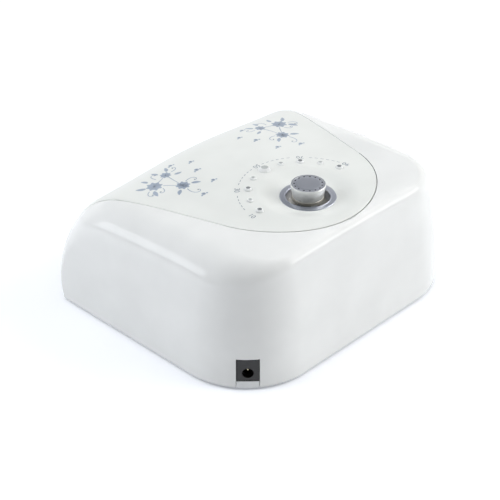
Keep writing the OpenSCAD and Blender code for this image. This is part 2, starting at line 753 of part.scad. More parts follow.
module encoder_nut() {
    color("#c4c7cb") at_selector(cup_z + 0.5) difference() {
        cylinder(d = 10 / cos(30), h = 2, $fn = 6);
        translate([0, 0, -1]) cylinder(r = neck_r, h = 4);
    }
}

encoder_feet = [[-2.5, -4.6], [0, -4.6], [2.5, -4.6], [-2.5, 4.6], [2.5, 4.6]];
pin_r = 0.4;
module encoder_pins() {
    color("#c4c7cb") at_selector(0) for (p = encoder_feet)
        translate([p[0], p[1], board_top - board_t - 1]) cylinder(r = pin_r, h = board_t + 1, $fn = 16);
}

module switch_dome() {
    dome_r = 3.6;
    sheet_t = 0.12;
    color("#c4c7cb") at_selector(chamber_z) rotate_extrude() polygon([
        [0, dome_h - sheet_t], [dome_r * 0.4, dome_h * 0.85 - sheet_t], [dome_r * 0.8, 0], [dome_r, 0],
        [dome_r, sheet_t], [dome_r * 0.85, sheet_t], [dome_r * 0.4, dome_h * 0.85], [0, dome_h]]);
}

// Control board, hung from the panel's posts
board_posts = [[36, -4], [33, panel_y + 33]];
board_half = 42;
board_y = [-11, 56];
plug_y = [48, 56];
board_room = board_top - hood_top - 2 * board_t;
plug_h = 0.3 * board_room;
plug_at = [26, 8];
plug_size = [8, 5];

module control_board() {
    color("#2f6a45") difference() {
        translate([-board_half, board_y[0], board_top - board_t])
            cube([2 * board_half, board_y[1] - board_y[0], board_t]);
        mirrored() for (p = board_posts)
            translate([p[0], p[1], board_top - board_t - 1]) cylinder(r = pcb_screw_r, h = board_t + 2);
        at_selector(board_top - board_t - 1) for (p = encoder_feet)
            translate([p[0], p[1], 0]) cylinder(r = pin_r, h = board_t + 2, $fn = 16);
    }
}

module board_parts() {
    color("#33373b") translate([0, 0, board_top]) {
        translate([board_half - 6, plug_y[0], 0]) cube([6, plug_y[1] - plug_y[0], 5]);
        translate([-15, 7, 0]) cube([10, 10, 1.6]);
        translate([7, 8, 0]) cube([9, 6, 2]);
        translate([-16, 49, 0]) cylinder(r = 3.2, h = 7);
        translate([-25, 49, 0]) cylinder(r = 3.2, h = 7);
        translate([16, 49, 0]) cylinder(r = 4, h = 4);
    }
    color("#33373b") translate([plug_at[0], plug_at[1], board_top - board_t - plug_h])
        cube([plug_size[0], plug_size[1], plug_h]);
}

module board_screws() {
    color("#b9bcc0") mirrored() for (p = board_posts)
        translate([p[0], p[1], board_top - board_t - 1.5])
            screw(pcb_screw_r, board_t + 6, 2.3, 1.5);
}

module indicator_leds() {
    color("#e9f2ff") for (i = [-4 : 4]) at_stone_xy(i) translate([0, 0, board_top]) {
        cylinder(r = 1.9, h = 1);
        cylinder(r = 1.5, h = 3.8);
        translate([0, 0, 3.8]) sphere(1.5);
    }
}

// Stones over the indicators, on an arc about the selector
stone_seat = 1.4;
stone_ledge = 0.8;
function stone_r(i) = (i == 0 ? centre_stone_d : i % 2 == 0 ? stone_d : small_stone_d) / 2;
function stone_xy(i) = [stone_arc_r * sin(i * stone_step), knob_y - stone_arc_r * cos(i * stone_step)];
module at_stone_xy(i) {
    translate([stone_xy(i)[0], stone_xy(i)[1], 0]) children();
}
module at_stone(i, z) {
    at_stone_xy(i) translate([0, 0, top_point(stone_xy(i)[0], stone_xy(i)[1])[2] + z]) children();
}

module stone(i) {
    r = stone_r(i);
    at_stone(i, -stone_seat) cylinder(r = r, h = stone_seat + 0.2);
    at_stone(i, 0.2) cylinder(r1 = r, r2 = r * 0.55, h = r * 0.45, $fn = 8);
}

module main_stones() {
    color("#dfe7ee") for (i = [-4, -2, 2, 4]) stone(i);
}

module small_stones() {
    color("#dfe7ee") for (i = [-3, -1, 1, 3]) stone(i);
}

module centre_stone() {
    color("#dfe7ee") stone(0);
}

// Power inlet in the rear right corner, facing out along the diagonal
jack_z = edge_z + 4.2;
jack_l = 13;
jack_rise = 5.4;
jack_face = corner_r - jack_w * jack_w / (8 * corner_r) - 0.3;
barrel_r = 2.85;
barrel_l = 10;
mouth_l = 3;
jack_pin_r = 1.05;
module at_jack(x) {
    translate([half_w - corner_r, rear_y - corner_r, 0]) rotate(45) translate([x, 0, 0]) children();
}
module jack_hole(r, depth) {
    translate([0, 0, jack_z + jack_rise]) rotate([0, 90, 0])
        translate([0, 0, -depth]) cylinder(r = r, h = depth + 1);
}

module jack_body() {
    color("#2b2d30") at_jack(jack_face) difference() {
        translate([-jack_l, -jack_w / 2, jack_z]) cube([jack_l, jack_w, jack_h]);
        jack_hole(jack_bore_d / 2, mouth_l);
        jack_hole(barrel_r, barrel_l);
    }
}

module jack_pin() {
    color("#d9c27a") at_jack(jack_face - barrel_l) translate([0, 0, jack_z + jack_rise])
        rotate([0, 90, 0]) {
            cylinder(r = jack_pin_r, h = barrel_l - mouth_l - 1);
            translate([0, 0, barrel_l - mouth_l - 1]) sphere(jack_pin_r);
        }
}

contact_l = 4;
contact_ys = [-3, 3];
module jack_contacts() {
    color("#c4c7cb") at_jack(jack_face - jack_l - contact_l) for (y = contact_ys)
        translate([0, y - 1.2, jack_z + jack_rise - 0.2]) cube([contact_l, 2.4, 0.4]);
}

// A wire that rises from z0, bends at z1 and runs level to x1
module lead(r, z0, x0, z1, x1, bend) {
    translate([x0, 0, z0]) cylinder(r = r, h = z1 - bend - z0, $fn = 16);
    translate([x0 - bend, 0, z1 - bend]) rotate([90, 0, 0]) rotate_extrude(angle = 90)
        translate([bend, 0]) circle(r, $fn = 16);
    translate([x1, 0, z1]) rotate([0, 90, 0]) cylinder(r = r, h = x0 - bend - x1, $fn = 16);
}

function jack_xy(x, y) = [half_w - corner_r + (x - y) / sqrt(2), rear_y - corner_r + (x + y) / sqrt(2)];
module jack_leads() {
    color("#a03030") for (y = contact_ys) let(p = jack_xy(jack_face - jack_l - contact_l / 2, y))
        translate([0, p[1], 0])
            lead(0.8, jack_z + jack_rise + 0.2, p[0], board_top + 2.5, board_half, 4);
}

module led_leads() {
    top = hood_top + board_t;
    color("#a03030") {
        for (s = [0.25, 0.75])
            translate([plug_at[0] + s * plug_size[0], plug_at[1] + plug_size[1] / 2, top + plug_h])
                cylinder(r = 0.6, h = board_room - 2 * plug_h, $fn = 16);
        mirrored() translate([0, side_ys[1], 0])
            lead(0.6, side_z + 6, mouth_half + hood_wall + 0.6, hood_top + board_t / 2,
                led_board_half, 4);
    }
}

outer_shell();
top_panel();
base_plate();
inner_hood();
rubber_feet();
base_screws();
hood_screws();
bezel_ring();
bezel_cup();
knob_body();
knob_cap();
knob_collar();
encoder_shaft();
encoder_rotor();
encoder_body();
encoder_washer();
encoder_nut();
encoder_pins();
switch_dome();
control_board();
board_parts();
indicator_leds();
board_screws();
main_stones();
small_stones();
centre_stone();
led_board();
led_board_screws();
led_emitters();
side_led_boards();
side_led_emitters();
jack_body();
jack_pin();
jack_contacts();
jack_leads();
led_leads();
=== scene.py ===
# A white desk lamp for curing nail gel, with a push selector in a dish and a printed top panel
import math
import bpy
import numpy as np
from numpy import concatenate, linspace
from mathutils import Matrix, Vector


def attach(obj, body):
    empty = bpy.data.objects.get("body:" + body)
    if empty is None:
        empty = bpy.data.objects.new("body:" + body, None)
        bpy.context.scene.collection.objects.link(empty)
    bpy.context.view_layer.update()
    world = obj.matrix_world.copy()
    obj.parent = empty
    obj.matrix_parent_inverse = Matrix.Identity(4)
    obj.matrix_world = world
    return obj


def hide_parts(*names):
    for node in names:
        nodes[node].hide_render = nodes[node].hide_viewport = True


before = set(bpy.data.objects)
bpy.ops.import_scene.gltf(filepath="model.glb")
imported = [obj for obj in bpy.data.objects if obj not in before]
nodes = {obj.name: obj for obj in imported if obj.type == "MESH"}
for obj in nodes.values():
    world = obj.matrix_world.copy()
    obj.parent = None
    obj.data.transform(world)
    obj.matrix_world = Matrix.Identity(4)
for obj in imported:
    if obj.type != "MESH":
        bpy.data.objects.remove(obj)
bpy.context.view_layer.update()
scene = bpy.context.scene
print("stage: solids loaded", len(nodes))

# the housing's form, as in the part's source; pieces are worked out in millimetres
housing = {
    "width": 187.0, "depth": 154.6, "height": 76.5, "corner": 44.0, "wall": 2.5,
    "noseLength": 38.6, "noseFoot": 15.0, "noseSquareness": 2.7, "noseSteps": 481, "frontLean": 2.2,
    "sideRoll": (19.5, 23.0), "rearRoll": (4.8, 8.0), "frontRoll": (4.0, 3.6),
    "crownRadius": 800.0, "crownY": 14.0, "domeHalf": 60.0, "domeSag": 3.2, "domeTaper": 0.036,
    "archHalf": 82.0, "archShare": 0.65, "archFrom": 15.0, "archRun": 50.0,
    "rearFallY": 41.0, "rearFallRadius": 190.0, "leanLow": 0.4, "leanHigh": 9.0, "leanHeight": 50.0,
    "edgeZ": 1.5, "edgeRound": 0.35, "edgeSteps": 4,
}
# the panel, its dish, and how near to the seam and how square to it a face of the gap is, to take the gap's
# painted shade
panel = {
    "radius": 57.5, "y": 8.0, "flare": 14.7, "half": 85.5, "thick": 2.4, "gap": 0.4, "ledge": 5.0,
    "lipZ": 39.6, "knobY": 33.1, "dishDepth": 3.4, "dishFloor": 16.2, "dishClear": 3.2,
    "gapReach": 0.35, "gapFacing": 0.85,
}
halfW, rearY, frontY = housing["width"] / 2, housing["depth"] / 2, -housing["depth"] / 2
edgeZ, corner, wall, noseFoot = (housing[key] for key in ("edgeZ", "corner", "wall", "noseFoot"))
noseY = frontY + housing["noseLength"]
tipZ = edgeZ + noseFoot
knobY = panel["knobY"]
atKnob = np.array([0.0, knobY])
arcY, arcR, flare = panel["y"], panel["radius"], math.radians(panel["flare"])
seamV = arcY + arcR * math.sin(flare)
seamOff = panel["gap"] / 2
dishIn = panel["dishFloor"]
dishOut = arcY + arcR - knobY - panel["dishClear"]
leanLow, leanHigh = (math.tan(math.radians(housing[key])) for key in ("leanLow", "leanHigh"))


def clipped(t):
    return np.clip(t, 0.0, 1.0)


def ease(t):
    c = clipped(t)
    return c * c * (3 - 2 * c)


def mix(a, b, t):
    return a + (b - a) * t


def unit(v):
    return v / np.maximum(np.linalg.norm(v, axis=-1, keepdims=True), 1e-12)


def points(*axes):
    return np.stack(np.broadcast_arrays(*[np.asarray(a, float) for a in axes]), axis=-1)


def around(steps):
    # angles of a full turn, as a column
    return linspace(0, 2 * math.pi, steps, endpoint=False)[:, None]


def polar(centre, r, a):
    # x and y at a distance and an angle from a centre
    return centre[0] + r * np.cos(a), centre[1] + r * np.sin(a)


def lean(z):
    # inward lean of a wall: its slope grows evenly up to leanHeight and then stays
    bend = housing["leanHeight"]
    t = np.minimum(z, bend)
    return leanLow * t + (leanHigh - leanLow) * t * t / (2 * bend) + leanHigh * np.maximum(0, z - bend)


def leanSlope(z):
    return mix(leanLow, leanHigh, clipped(z / housing["leanHeight"]))


def crown(x, y):
    # height of the top: a long arc front to back, a dome that flattens at its sides and becomes an even
    # arch towards the front, a fall at the rear
    q = clipped((x / housing["domeHalf"]) ** 2)
    front = housing["archShare"] * ease((housing["archFrom"] - y) / housing["archRun"])
    sag = mix(1 - (1 - q) ** 2, clipped((x / housing["archHalf"]) ** 2), front)
    return (edgeZ + housing["height"] - (y - housing["crownY"]) ** 2 / (2 * housing["crownRadius"])
            - (housing["domeSag"] - housing["domeTaper"] * y) * sag
            - np.maximum(0, y - housing["rearFallY"]) ** 2 / (2 * housing["rearFallRadius"]))


dishZ = float(crown(0.0, knobY)) - panel["dishDepth"]


def dished(x, y):
    # the crown, eased down to a flat floor around the selector
    r = np.hypot(x, y - knobY)
    return mix(dishZ, crown(x, y), ease((r - dishIn) / (dishOut - dishIn)))


# the nose is a quarter of a squared-off ellipse, and v is the length walked along it from noseY
noseAngles = 0.5 * math.pi * ease(linspace(0, 1, housing["noseSteps"]))
nosePower = 2 / housing["noseSquareness"]
noseLine = points(housing["noseLength"] * np.sin(noseAngles) ** nosePower,
                  (float(crown(halfW, noseY)) - tipZ) * clipped(np.cos(noseAngles)) ** nosePower)
noseWalk = concatenate([[0], np.cumsum(np.linalg.norm(np.diff(noseLine, axis=0), axis=1))])
noseArc = noseWalk[-1]


def noseAngle(v):
    # the ellipse's angle at a length walked from noseY
    return np.interp(noseY - v, noseWalk, noseAngles)


def topPoint(x, v):
    # behind the nose v is y; over the nose it walks the ellipse, then falls down the front face
    a = noseAngle(v)
    s = clipped((noseY - noseArc - v) / noseFoot)
    over = noseY - housing["noseLength"] * np.sin(a) ** nosePower + housing["frontLean"] * s * s
    y = np.where(v > noseY, v, over)
    k = np.where(v > noseY, 1.0, clipped(np.cos(a)) ** nosePower)
    return points(x, y, tipZ - noseFoot * s + (dished(x, y) - tipZ) * k)


def normalOf(surface, x, v, h):
    # across the differences of a surface's points over a small step h either way
    return unit(np.cross(surface(x + h, v) - surface(x - h, v), surface(x, v + h) - surface(x, v - h)))


def sunk(at, depth):
    # points of the top at (x, v), moved in along its normal
    x, v = at[..., 0], at[..., 1]
    return topPoint(x, v) - np.asarray(depth)[..., None] * normalOf(topPoint, x, v, 0.5)


def sideRoll(v):
    # the rolled edge along a side: its start, width, height, direction, first angle and foot
    share = np.cos(noseAngle(v))
    w, h = (mix(low, high, share) for low, high in zip(housing["frontRoll"], housing["sideRoll"]))
    n = normalOf(topPoint, halfW, v, 0.5)
    z0 = np.maximum(0, topPoint(halfW, v)[..., 2] - h * n[..., 2] - edgeZ)
    start = np.arctan(h / w * leanSlope(z0))
    foot = topPoint(halfW - lean(z0), v) - (h * (1 - np.sin(start)))[..., None] * n
    xIn = halfW - lean(foot[..., 2] - edgeZ) - w * np.cos(start)
    return xIn, w, h, n, start, foot


def sidePoint(x, v, roll):
    # the top sinks along a quarter of an ellipse towards the side
    t = clipped((x - roll[0]) / roll[1])
    return topPoint(x, v) - (roll[2] * (1 - np.sqrt(1 - t * t)))[..., None] * roll[3]


def skinPoint(x, v):
    # the top, sunk towards whichever side is nearer
    x, v = np.broadcast_arrays(x, v)
    p = sidePoint(np.abs(x), v, sideRoll(v))
    p[..., 0] = np.where(x < 0, -p[..., 0], p[..., 0])
    return p


def raised(x, v, lift):
    # points of the skin, moved out along its normal
    return skinPoint(x, v) + np.asarray(lift, float)[..., None] * normalOf(skinPoint, x, v, 0.4)


def seamX(v, off):
    # half width of the panel's outline: the tangent of its rear arc, then straight down
    slant = (arcR + off - (v - arcY) * math.sin(flare)) / math.cos(flare)
    return np.minimum(panel["half"] + off, slant)


def seamEdge():
    # steps of a quarter round over the seam's corner: (offset from the seam, depth)
    r = housing["edgeRound"]
    a = linspace(0, math.pi / 2, housing["edgeSteps"] + 1)
    return r * (1 - np.sin(a)), r * (1 - np.cos(a))


lipShare = (panel["lipZ"] - noseFoot) / (float(dished(0.0, frontY)) - tipZ)
lipV = noseY - float(np.interp(math.acos(lipShare ** (1 / nosePower)), noseAngles, noseWalk))


# meshes
def gridFaces(rows, columns, closedRows=False, closedColumns=False):
    # quads of a grid whose point (i, j) has number i * columns + j
    i = np.arange(rows if closedRows else rows - 1)[:, None]
    j = np.arange(columns if closedColumns else columns - 1)[None, :]
    i2, j2 = (i + 1) % rows, (j + 1) % columns
    corners = [i * columns + j, i2 * columns + j, i2 * columns + j2, i * columns + j2]
    return np.stack(corners, axis=-1).reshape(-1, 4)


def closedUp(verts, quads, extra=()):
    # points that fall together become one, and a quad that loses a corner becomes a triangle
    _, first, back = np.unique(np.round(verts, 4), axis=0, return_index=True, return_inverse=True)
    corners = back.reshape(-1)[quads]
    same = corners == np.roll(corners, -1, axis=1)
    lost = same.sum(axis=1)
    faces = corners[lost == 0].tolist()
    for k in range(4):
        faces += np.delete(corners[(lost == 1) & same[:, k]], k, axis=1).tolist()
    for cap in extra:
        line = back.reshape(-1)[cap]
        faces.append(line[line != np.roll(line, -1)].tolist())
    return verts[first], faces


def inScene(name, data):
    # an object for a mesh, a lamp or a camera, put in the scene
    made = bpy.data.objects.new(name, data)
    scene.collection.objects.link(made)
    return made


def addPiece(name, verts, quads, body, slotName, material, replaces=(), extra=(), sharp=35.0):
    # verts in millimetres; extra holds faces with more than four corners; sharp is in degrees
    verts, faces = closedUp(np.asarray(verts, float).reshape(-1, 3), np.asarray(quads), extra)
    mesh = bpy.data.meshes.new(name)
    mesh.from_pydata((verts * 0.001).tolist(), [], faces)
    mesh.validate()
    mesh.shade_smooth()
    mesh.set_sharp_from_angle(angle=math.radians(sharp))
    made = inScene(name, mesh)
    mesh.materials.append(material)
    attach(made, body)
    if replaces:
        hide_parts(*replaces)
    return made


def threes(items, key, kind=float):
    # the three values that each part of a mesh has, a row for each
    flat = np.empty(3 * len(items), kind)
    items.foreach_get(key, flat)
    return flat.reshape(-1, 3)


def faceFacts(made):
    # the normals of a piece's faces, and their middles in millimetres
    return threes(made.data.polygons, "normal"), 1000 * threes(made.data.polygons, "center")


def facesGet(made, index, *finishes):
    # further finishes for a piece, and for each face the number of the one it has
    for finish in finishes:
        made.data.materials.append(finish)
    made.data.polygons.foreach_set("material_index", index.astype(int))


def gapShaded(made, side):
    # faces that look across the gap at the panel's rear arc get painted shade: side is 1 on the housing, -1
    # on the panel
    facing, middles = faceFacts(made)
    out = middles[:, :2] - [0, arcY]
    reach = np.abs(np.linalg.norm(out, axis=1) - arcR)
    across = -side * (facing[:, :2] * unit(out)).sum(axis=1)
    paintedShadeFaces = (reach < panel["gapReach"]) & (across > panel["gapFacing"]) & (middles[:, 1] > seamV)
    facesGet(made, paintedShadeFaces, paintedGapShadeAbs)


def joined(*parts):
    # several (verts, quads) as one
    verts = [p[0].reshape(-1, p[0].shape[-1]) for p in parts]
    starts = np.cumsum([0] + [len(v) for v in verts[:-1]])
    return concatenate(verts), concatenate([p[1] + s for p, s in zip(parts, starts)])


def rounded(profile, radius, steps=5):
    # a closed profile with each corner cut by an arc that is tangent to both of its sides
    p = np.asarray(profile, float)
    toLast, toNext = np.roll(p, 1, 0) - p, np.roll(p, -1, 0) - p
    before, after = unit(toLast), unit(toNext)
    half = 0.5 * np.arccos(np.clip((before * after).sum(-1), -1, 1))
    room = 0.45 * np.minimum(np.linalg.norm(toLast, axis=1), np.linalg.norm(toNext, axis=1))
    cut = np.minimum(np.asarray(radius) / np.maximum(np.tan(half), 1e-6), room)
    r = cut * np.tan(half)
    middle = p + unit(before + after) * (r / np.maximum(np.sin(half), 1e-6))[:, None]
    a, b = p + before * cut[:, None] - middle, p + after * cut[:, None] - middle
    t = linspace(0, 1, steps)[None, :, None]
    arc = middle[:, None] + unit(mix(a[:, None], b[:, None], t)) * r[:, None, None]
    flat = (half > 0.5 * math.pi - 0.02) | (p[:, 0] < 1e-6)
    return np.where(flat[:, None, None], p[:, None], arc).reshape(-1, 2)


# finishes
def linear(code):
    # sRGB hex to linear colour
    c = np.array([int(code[k:k + 2], 16) for k in (1, 3, 5)]) / 255.0
    return tuple(np.where(c <= 0.04045, c / 12.92, ((c + 0.055) / 1.055) ** 2.4)) + (1.0,)


def addNode(tree, kind, values=None, links=None, **settings):
    made = tree.nodes.new("ShaderNode" + kind)
    for key, value in settings.items():
        setattr(made, key, value)
    for key, value in (values or {}).items():
        made.inputs[key].default_value = value
    for key, source in (links or {}).items():
        # a node stands for its first output
        tree.links.new(getattr(source, "outputs", (source,))[0], made.inputs[key])
    return made


def newFinish(name, values):
    # a material with one shader and its output
    made = bpy.data.materials.new(name)
    made.use_nodes = True
    tree = made.node_tree
    tree.nodes.clear()
    shader = addNode(tree, "BsdfPrincipled", values)
    out = addNode(tree, "OutputMaterial", links={"Surface": shader})
    return made, tree, shader, out


def grained(name, dark, light, rough, grain, depth, **values):
    # a moulded or cut surface: a faint mottle, a roughness that wanders, and a relief with a grain and
    # a depth in millimetres; with no values it is ABS
    made, tree, shader, _ = newFinish(name, values or {"IOR": 1.53})
    place = addNode(tree, "TexCoord").outputs["Object"]
    fine = addNode(tree, "TexNoise", {"Scale": 1000 / grain, "Detail": 3.0, "Roughness": 0.55},
                   {"Vector": place})
    broad = addNode(tree, "TexNoise", {"Scale": 40.0, "Detail": 2.0}, {"Vector": place})
    tint = addNode(tree, "ValToRGB", links={0: broad})
    for stop, at, colour in zip(tint.color_ramp.elements, (0.35, 0.65), (dark, light)):
        stop.position, stop.color = at, linear(colour)
    gloss = addNode(tree, "MapRange", {"From Min": 0.3, "From Max": 0.7, "To Min": rough[0],
                                       "To Max": rough[1]}, {"Value": broad})
    relief = addNode(tree, "Bump", {"Strength": 1.0, "Distance": depth * 0.001}, {"Height": fine})
    for socket, source in (("Base Color", tint), ("Roughness", gloss), ("Normal", relief)):
        tree.links.new(source.outputs[0], shader.inputs[socket])
    return made


# ABS, injection moulded in a polished tool: a glossy white, its reflections very slightly wavy
glossAbs = grained("gloss_white_abs", "#edeeec", "#f1f2f0", (0.06, 0.09), 9.0, 0.004)
# the same ABS from a duller tool, for the panel: a soft sheen, a shade greyer
panelAbs = grained("panel_white_abs", "#e7e9e5", "#ebede9", (0.28, 0.34), 9.0, 0.004)
# ABS moulded in a spark-eroded tool: a dull fine grain
satinAbs = grained("satin_white_abs", "#e8eaea", "#eef0f0", (0.42, 0.52), 0.6, 0.012)
# ABS with a bright white lacquer: the clean shine of a reflector
reflectorAbs = grained("reflector_abs", "#e6e9ec", "#eef0f2", (0.16, 0.24), 5.0, 0.004)
# ABS, unpolished and coloured dark grey as painted shade for the shadow in the gap at the rear arc: the seam
# reads as a line
paintedGapShadeAbs = grained("painted_gap_shade_abs", "#45474a", "#5b5d60", (0.70, 0.85), 0.4, 0.01)
# black ABS of the inlet, lightly grained in its mould: a deep black with little shine
blackAbs = grained("black_abs", "#0b0a0c", "#100f12", (0.30, 0.40), 0.5, 0.008)
# dark grey ABS of the encoder's case, moulded: plain and dull
darkAbs = grained("dark_abs", "#43464c", "#4d5057", (0.40, 0.50), 0.7, 0.01)
# thermoplastic rubber, moulded: dull and slightly dusty
footRubber = grained("foot_rubber", "#2c2e31", "#383a3e", (0.70, 0.85), 0.5, 0.02, IOR=1.52)
# glass-filled nylon of the encoder's rotor, moulded: a creamy white
nylon = grained("natural_nylon", "#d8d3c6", "#e3dfd4", (0.40, 0.50), 0.8, 0.01)
# steel, zinc plated: the broken grey shine of screws, contacts and the encoder's metal
zincSteel = grained("zinc_steel", "#a9acb1", "#bcbfc4", (0.28, 0.40), 0.35, 0.004, Metallic=1.0)
# brass, tinned and polished: a warm pale shine on the inlet's pin
tinnedBrass = grained("tinned_brass", "#c9bfa0", "#d8cfb4", (0.20, 0.28), 0.3, 0.002, Metallic=1.0)
# PVC, extruded over wire: smooth red insulation
wirePvc = grained("wire_pvc", "#8e2a2a", "#a03232", (0.35, 0.45), 0.8, 0.004)
# printing ink, screen printed: as dull as the panel, in two strengths
inkMiddle = grained("ink_grey_blue", "#9fabbb", "#adb8c6", (0.30, 0.38), 0.25, 0.002, IOR=1.5)
inkDark = grained("ink_slate", "#77818f", "#848e9c", (0.30, 0.38), 0.25, 0.002, IOR=1.5)
print("stage: plain finishes made")


# housing shell: rows up the wall and over the roll to the seam, stations along it, an inner wall
walls = {
    "wallHeights": (0, 0.05, 0.15, 0.35, 2, 5, 8, 11, 14, 16.5, 18.5), "wallFull": 30.0, "upperRows": 10,
    "rollRows": 18, "rollMargin": 1.0, "rollClear": 0.4, "rearProbe": 6.0, "bandRows": 9, "inletHalf": 6.5,
    "foldOut": 0.6, "ledgeThick": 2.0, "stepGap": 0.2, "ledgeStart": 4.0, "ledgeRun": 6.0, "stepStart": 6.0,
    "stepRun": 5.0, "tipBack": 0.3, "rimThick": 0.5, "thickFrom": 1.0, "thickRun": 3.0,
    "faceSteps": 9, "noseSteps": 65, "sideSteps": 37, "rearSteps": (22, 9, 46),
    "innerLow": (0, 4, 7), "innerEvery": 3, "innerEnd": 5,
}
wallHeights = np.array(walls["wallHeights"], float)
stepDeep = panel["thick"] + walls["stepGap"]
rollShare = linspace(0, 1, walls["rollRows"] + 1)[1:]
bandShare = linspace(0, 1, walls["bandRows"] + 1)[1:-1]
rearStraight, rearQuarter = rearY - corner - seamV, corner * math.pi / 2
rearRun = rearStraight + rearQuarter + halfW - corner


def wallRise(zFoot):
    # heights above the lower edge: fixed ones up to the inlet's top, then even steps to the roll
    low = wallHeights * np.minimum(1, zFoot / walls["wallFull"])[:, None]
    share = linspace(0, 1, walls["upperRows"] + 1)[1:]
    return concatenate([low, mix(low[:, -1:], zFoot[:, None], share)], axis=1)


def edgeInset(z):
    # the small round along the lower edge
    r = housing["edgeRound"]
    return r - np.sqrt(np.maximum(0, r * r - np.maximum(0, r - z) ** 2))


def sideSections(v):
    # rows of the housing's section at stations v of a side: wall, roll, band, seam, ledge
    roll = sideRoll(v)
    xIn, w, _, _, start, foot = roll
    zFoot = np.maximum(foot[:, 2] - edgeZ, 1e-3)
    xSeam = seamX(v, seamOff)
    tEnd = np.arccos(clipped((np.maximum(xSeam + walls["rollMargin"], xIn) - xIn) / w))
    run = clipped((noseY - v) / (noseArc + noseFoot))
    fold = foot[:, 1] - topPoint(0.0, v)[:, 1] + walls["foldOut"]
    yLow = mix(np.maximum(v, noseY), frontY + housing["frontLean"], run) + fold * run
    held = clipped((v - lipV - walls["ledgeStart"]) / walls["ledgeRun"])
    stepped = clipped((v - lipV + walls["stepStart"]) / walls["stepRun"])
    depth = mix(wall / 2, stepDeep, stepped)
    z = wallRise(zFoot)
    y = mix(yLow[:, None], foot[:, 1:2], z / zFoot[:, None])
    wallPart = points(halfW - lean(z) - edgeInset(z), y, edgeZ + z)
    wide, column = [a[:, None] for a in roll], v[:, None]
    t = mix(start[:, None], tEnd[:, None], rollShare)
    rollPart = sidePoint(wide[0] + wide[1] * np.cos(t), column, wide)
    off, deep = seamEdge()
    xRoll = xIn + w * np.cos(tEnd)
    bandPart = sidePoint(mix(xRoll[:, None], xSeam[:, None] + off[0], bandShare), column, wide)
    edgePart = raised(xSeam[:, None] + off, column, -deep)
    step = raised(xSeam, v, -depth)
    tip = raised(xSeam - mix(walls["tipBack"], panel["ledge"], held), v, -depth)
    thick = np.maximum(mix(wall, stepDeep + walls["ledgeThick"], held), depth + walls["rimThick"])
    return [wallPart, rollPart, bandPart, edgePart, step[:, None], tip[:, None]], thick, depth


def rearSections(u):
    # the same from the panel's tangent point round the corner to the middle of the rear
    d = u * rearRun
    a = 0.5 * math.pi * clipped((d - rearStraight) / rearQuarter)
    p = points(halfW - corner * (1 - np.cos(a)) - np.maximum(0, d - rearStraight - rearQuarter),
               np.minimum(d, rearStraight) + seamV + corner * np.sin(a))
    n = points(np.cos(a), np.sin(a))
    blend = ease(a / (0.5 * math.pi))
    wFull, h = (mix(side, rear, blend) for side, rear in zip(housing["sideRoll"], housing["rearRoll"]))
    q = p - walls["rearProbe"] * n
    z0 = crown(q[:, 0], q[:, 1]) - h - edgeZ
    g = mix(flare, math.pi / 2, u)
    ray = points(np.cos(g), np.sin(g))
    seam = ray * (arcR + seamOff) + [0, arcY]
    w = np.minimum(np.linalg.norm(p - seam, axis=1) - lean(z0) - walls["rollClear"], wFull)
    start = np.arctan(h / w * leanSlope(z0))
    zFoot = z0 + h * np.sin(start)
    inset = lean(zFoot) + w * np.cos(start)
    z = wallRise(zFoot)
    e = p[:, None] - (lean(z) + edgeInset(z))[..., None] * n[:, None]
    wallPart = points(e[..., 0], e[..., 1], edgeZ + z)
    t = mix(start[:, None], math.pi / 2, rollShare)
    e = p[:, None] - (inset[:, None] - w[:, None] * np.cos(t))[..., None] * n[:, None]
    rollPart = points(e[..., 0], e[..., 1], crown(e[..., 0], e[..., 1]) - h[:, None] * (1 - np.sin(t)))
    off, deep = seamEdge()
    band = mix((p - inset[:, None] * n)[:, None], (seam + off[0] * ray)[:, None], bandShare[:, None])
    edge = seam[:, None] + off[:, None] * ray[:, None]
    step, tip = sunk(seam, stepDeep), sunk(seam - panel["ledge"] * ray, stepDeep)
    return ([wallPart, rollPart, sunk(band, 0.0), sunk(edge, deep), step[:, None], tip[:, None]],
            stepDeep + walls["ledgeThick"] + 0 * u, stepDeep + 0 * u)


# stations: up the front face, over the nose, along the side, round the rear and at the inlet's sides
inletTurn = math.degrees(math.asin(walls["inletHalf"] / (corner - 0.1)))
faceV = linspace(noseY - noseArc - noseFoot, noseY - noseArc, walls["faceSteps"])[:-1]
noseV = linspace(noseY - noseArc, noseY, walls["noseSteps"])[:-1]
sideV = concatenate([faceV, noseV, linspace(noseY, seamV, walls["sideSteps"])])
turns = [(rearStraight + corner * math.radians(45 + at)) / rearRun
         for at in (-inletTurn, inletTurn)]
rearU = concatenate([linspace(low, high, steps)[1:] for low, high, steps in
                     zip([0, *turns], [*turns, 1], walls["rearSteps"])])
inletFirst = len(sideV) + walls["rearSteps"][0] - 2
inletLast = inletFirst + walls["rearSteps"][1] - 1
(sideParts, *sideDepths), (rearParts, *rearDepths) = sideSections(sideV), rearSections(rearU)
outer = concatenate([concatenate(parts, axis=1) for parts in (sideParts, rearParts)])
thick, stepAt = (concatenate(both) for both in zip(sideDepths, rearDepths))
outer[0, :, 2] = edgeZ
outer = concatenate([outer, outer[-2::-1] * [-1.0, 1.0, 1.0]])
thick, stepAt = (concatenate([a, a[-2::-1]]) for a in (thick, stepAt))
columnCount, outerCount = outer.shape[:2]
inletRow = len(wallHeights) - 1
seamRow = outerCount - 3

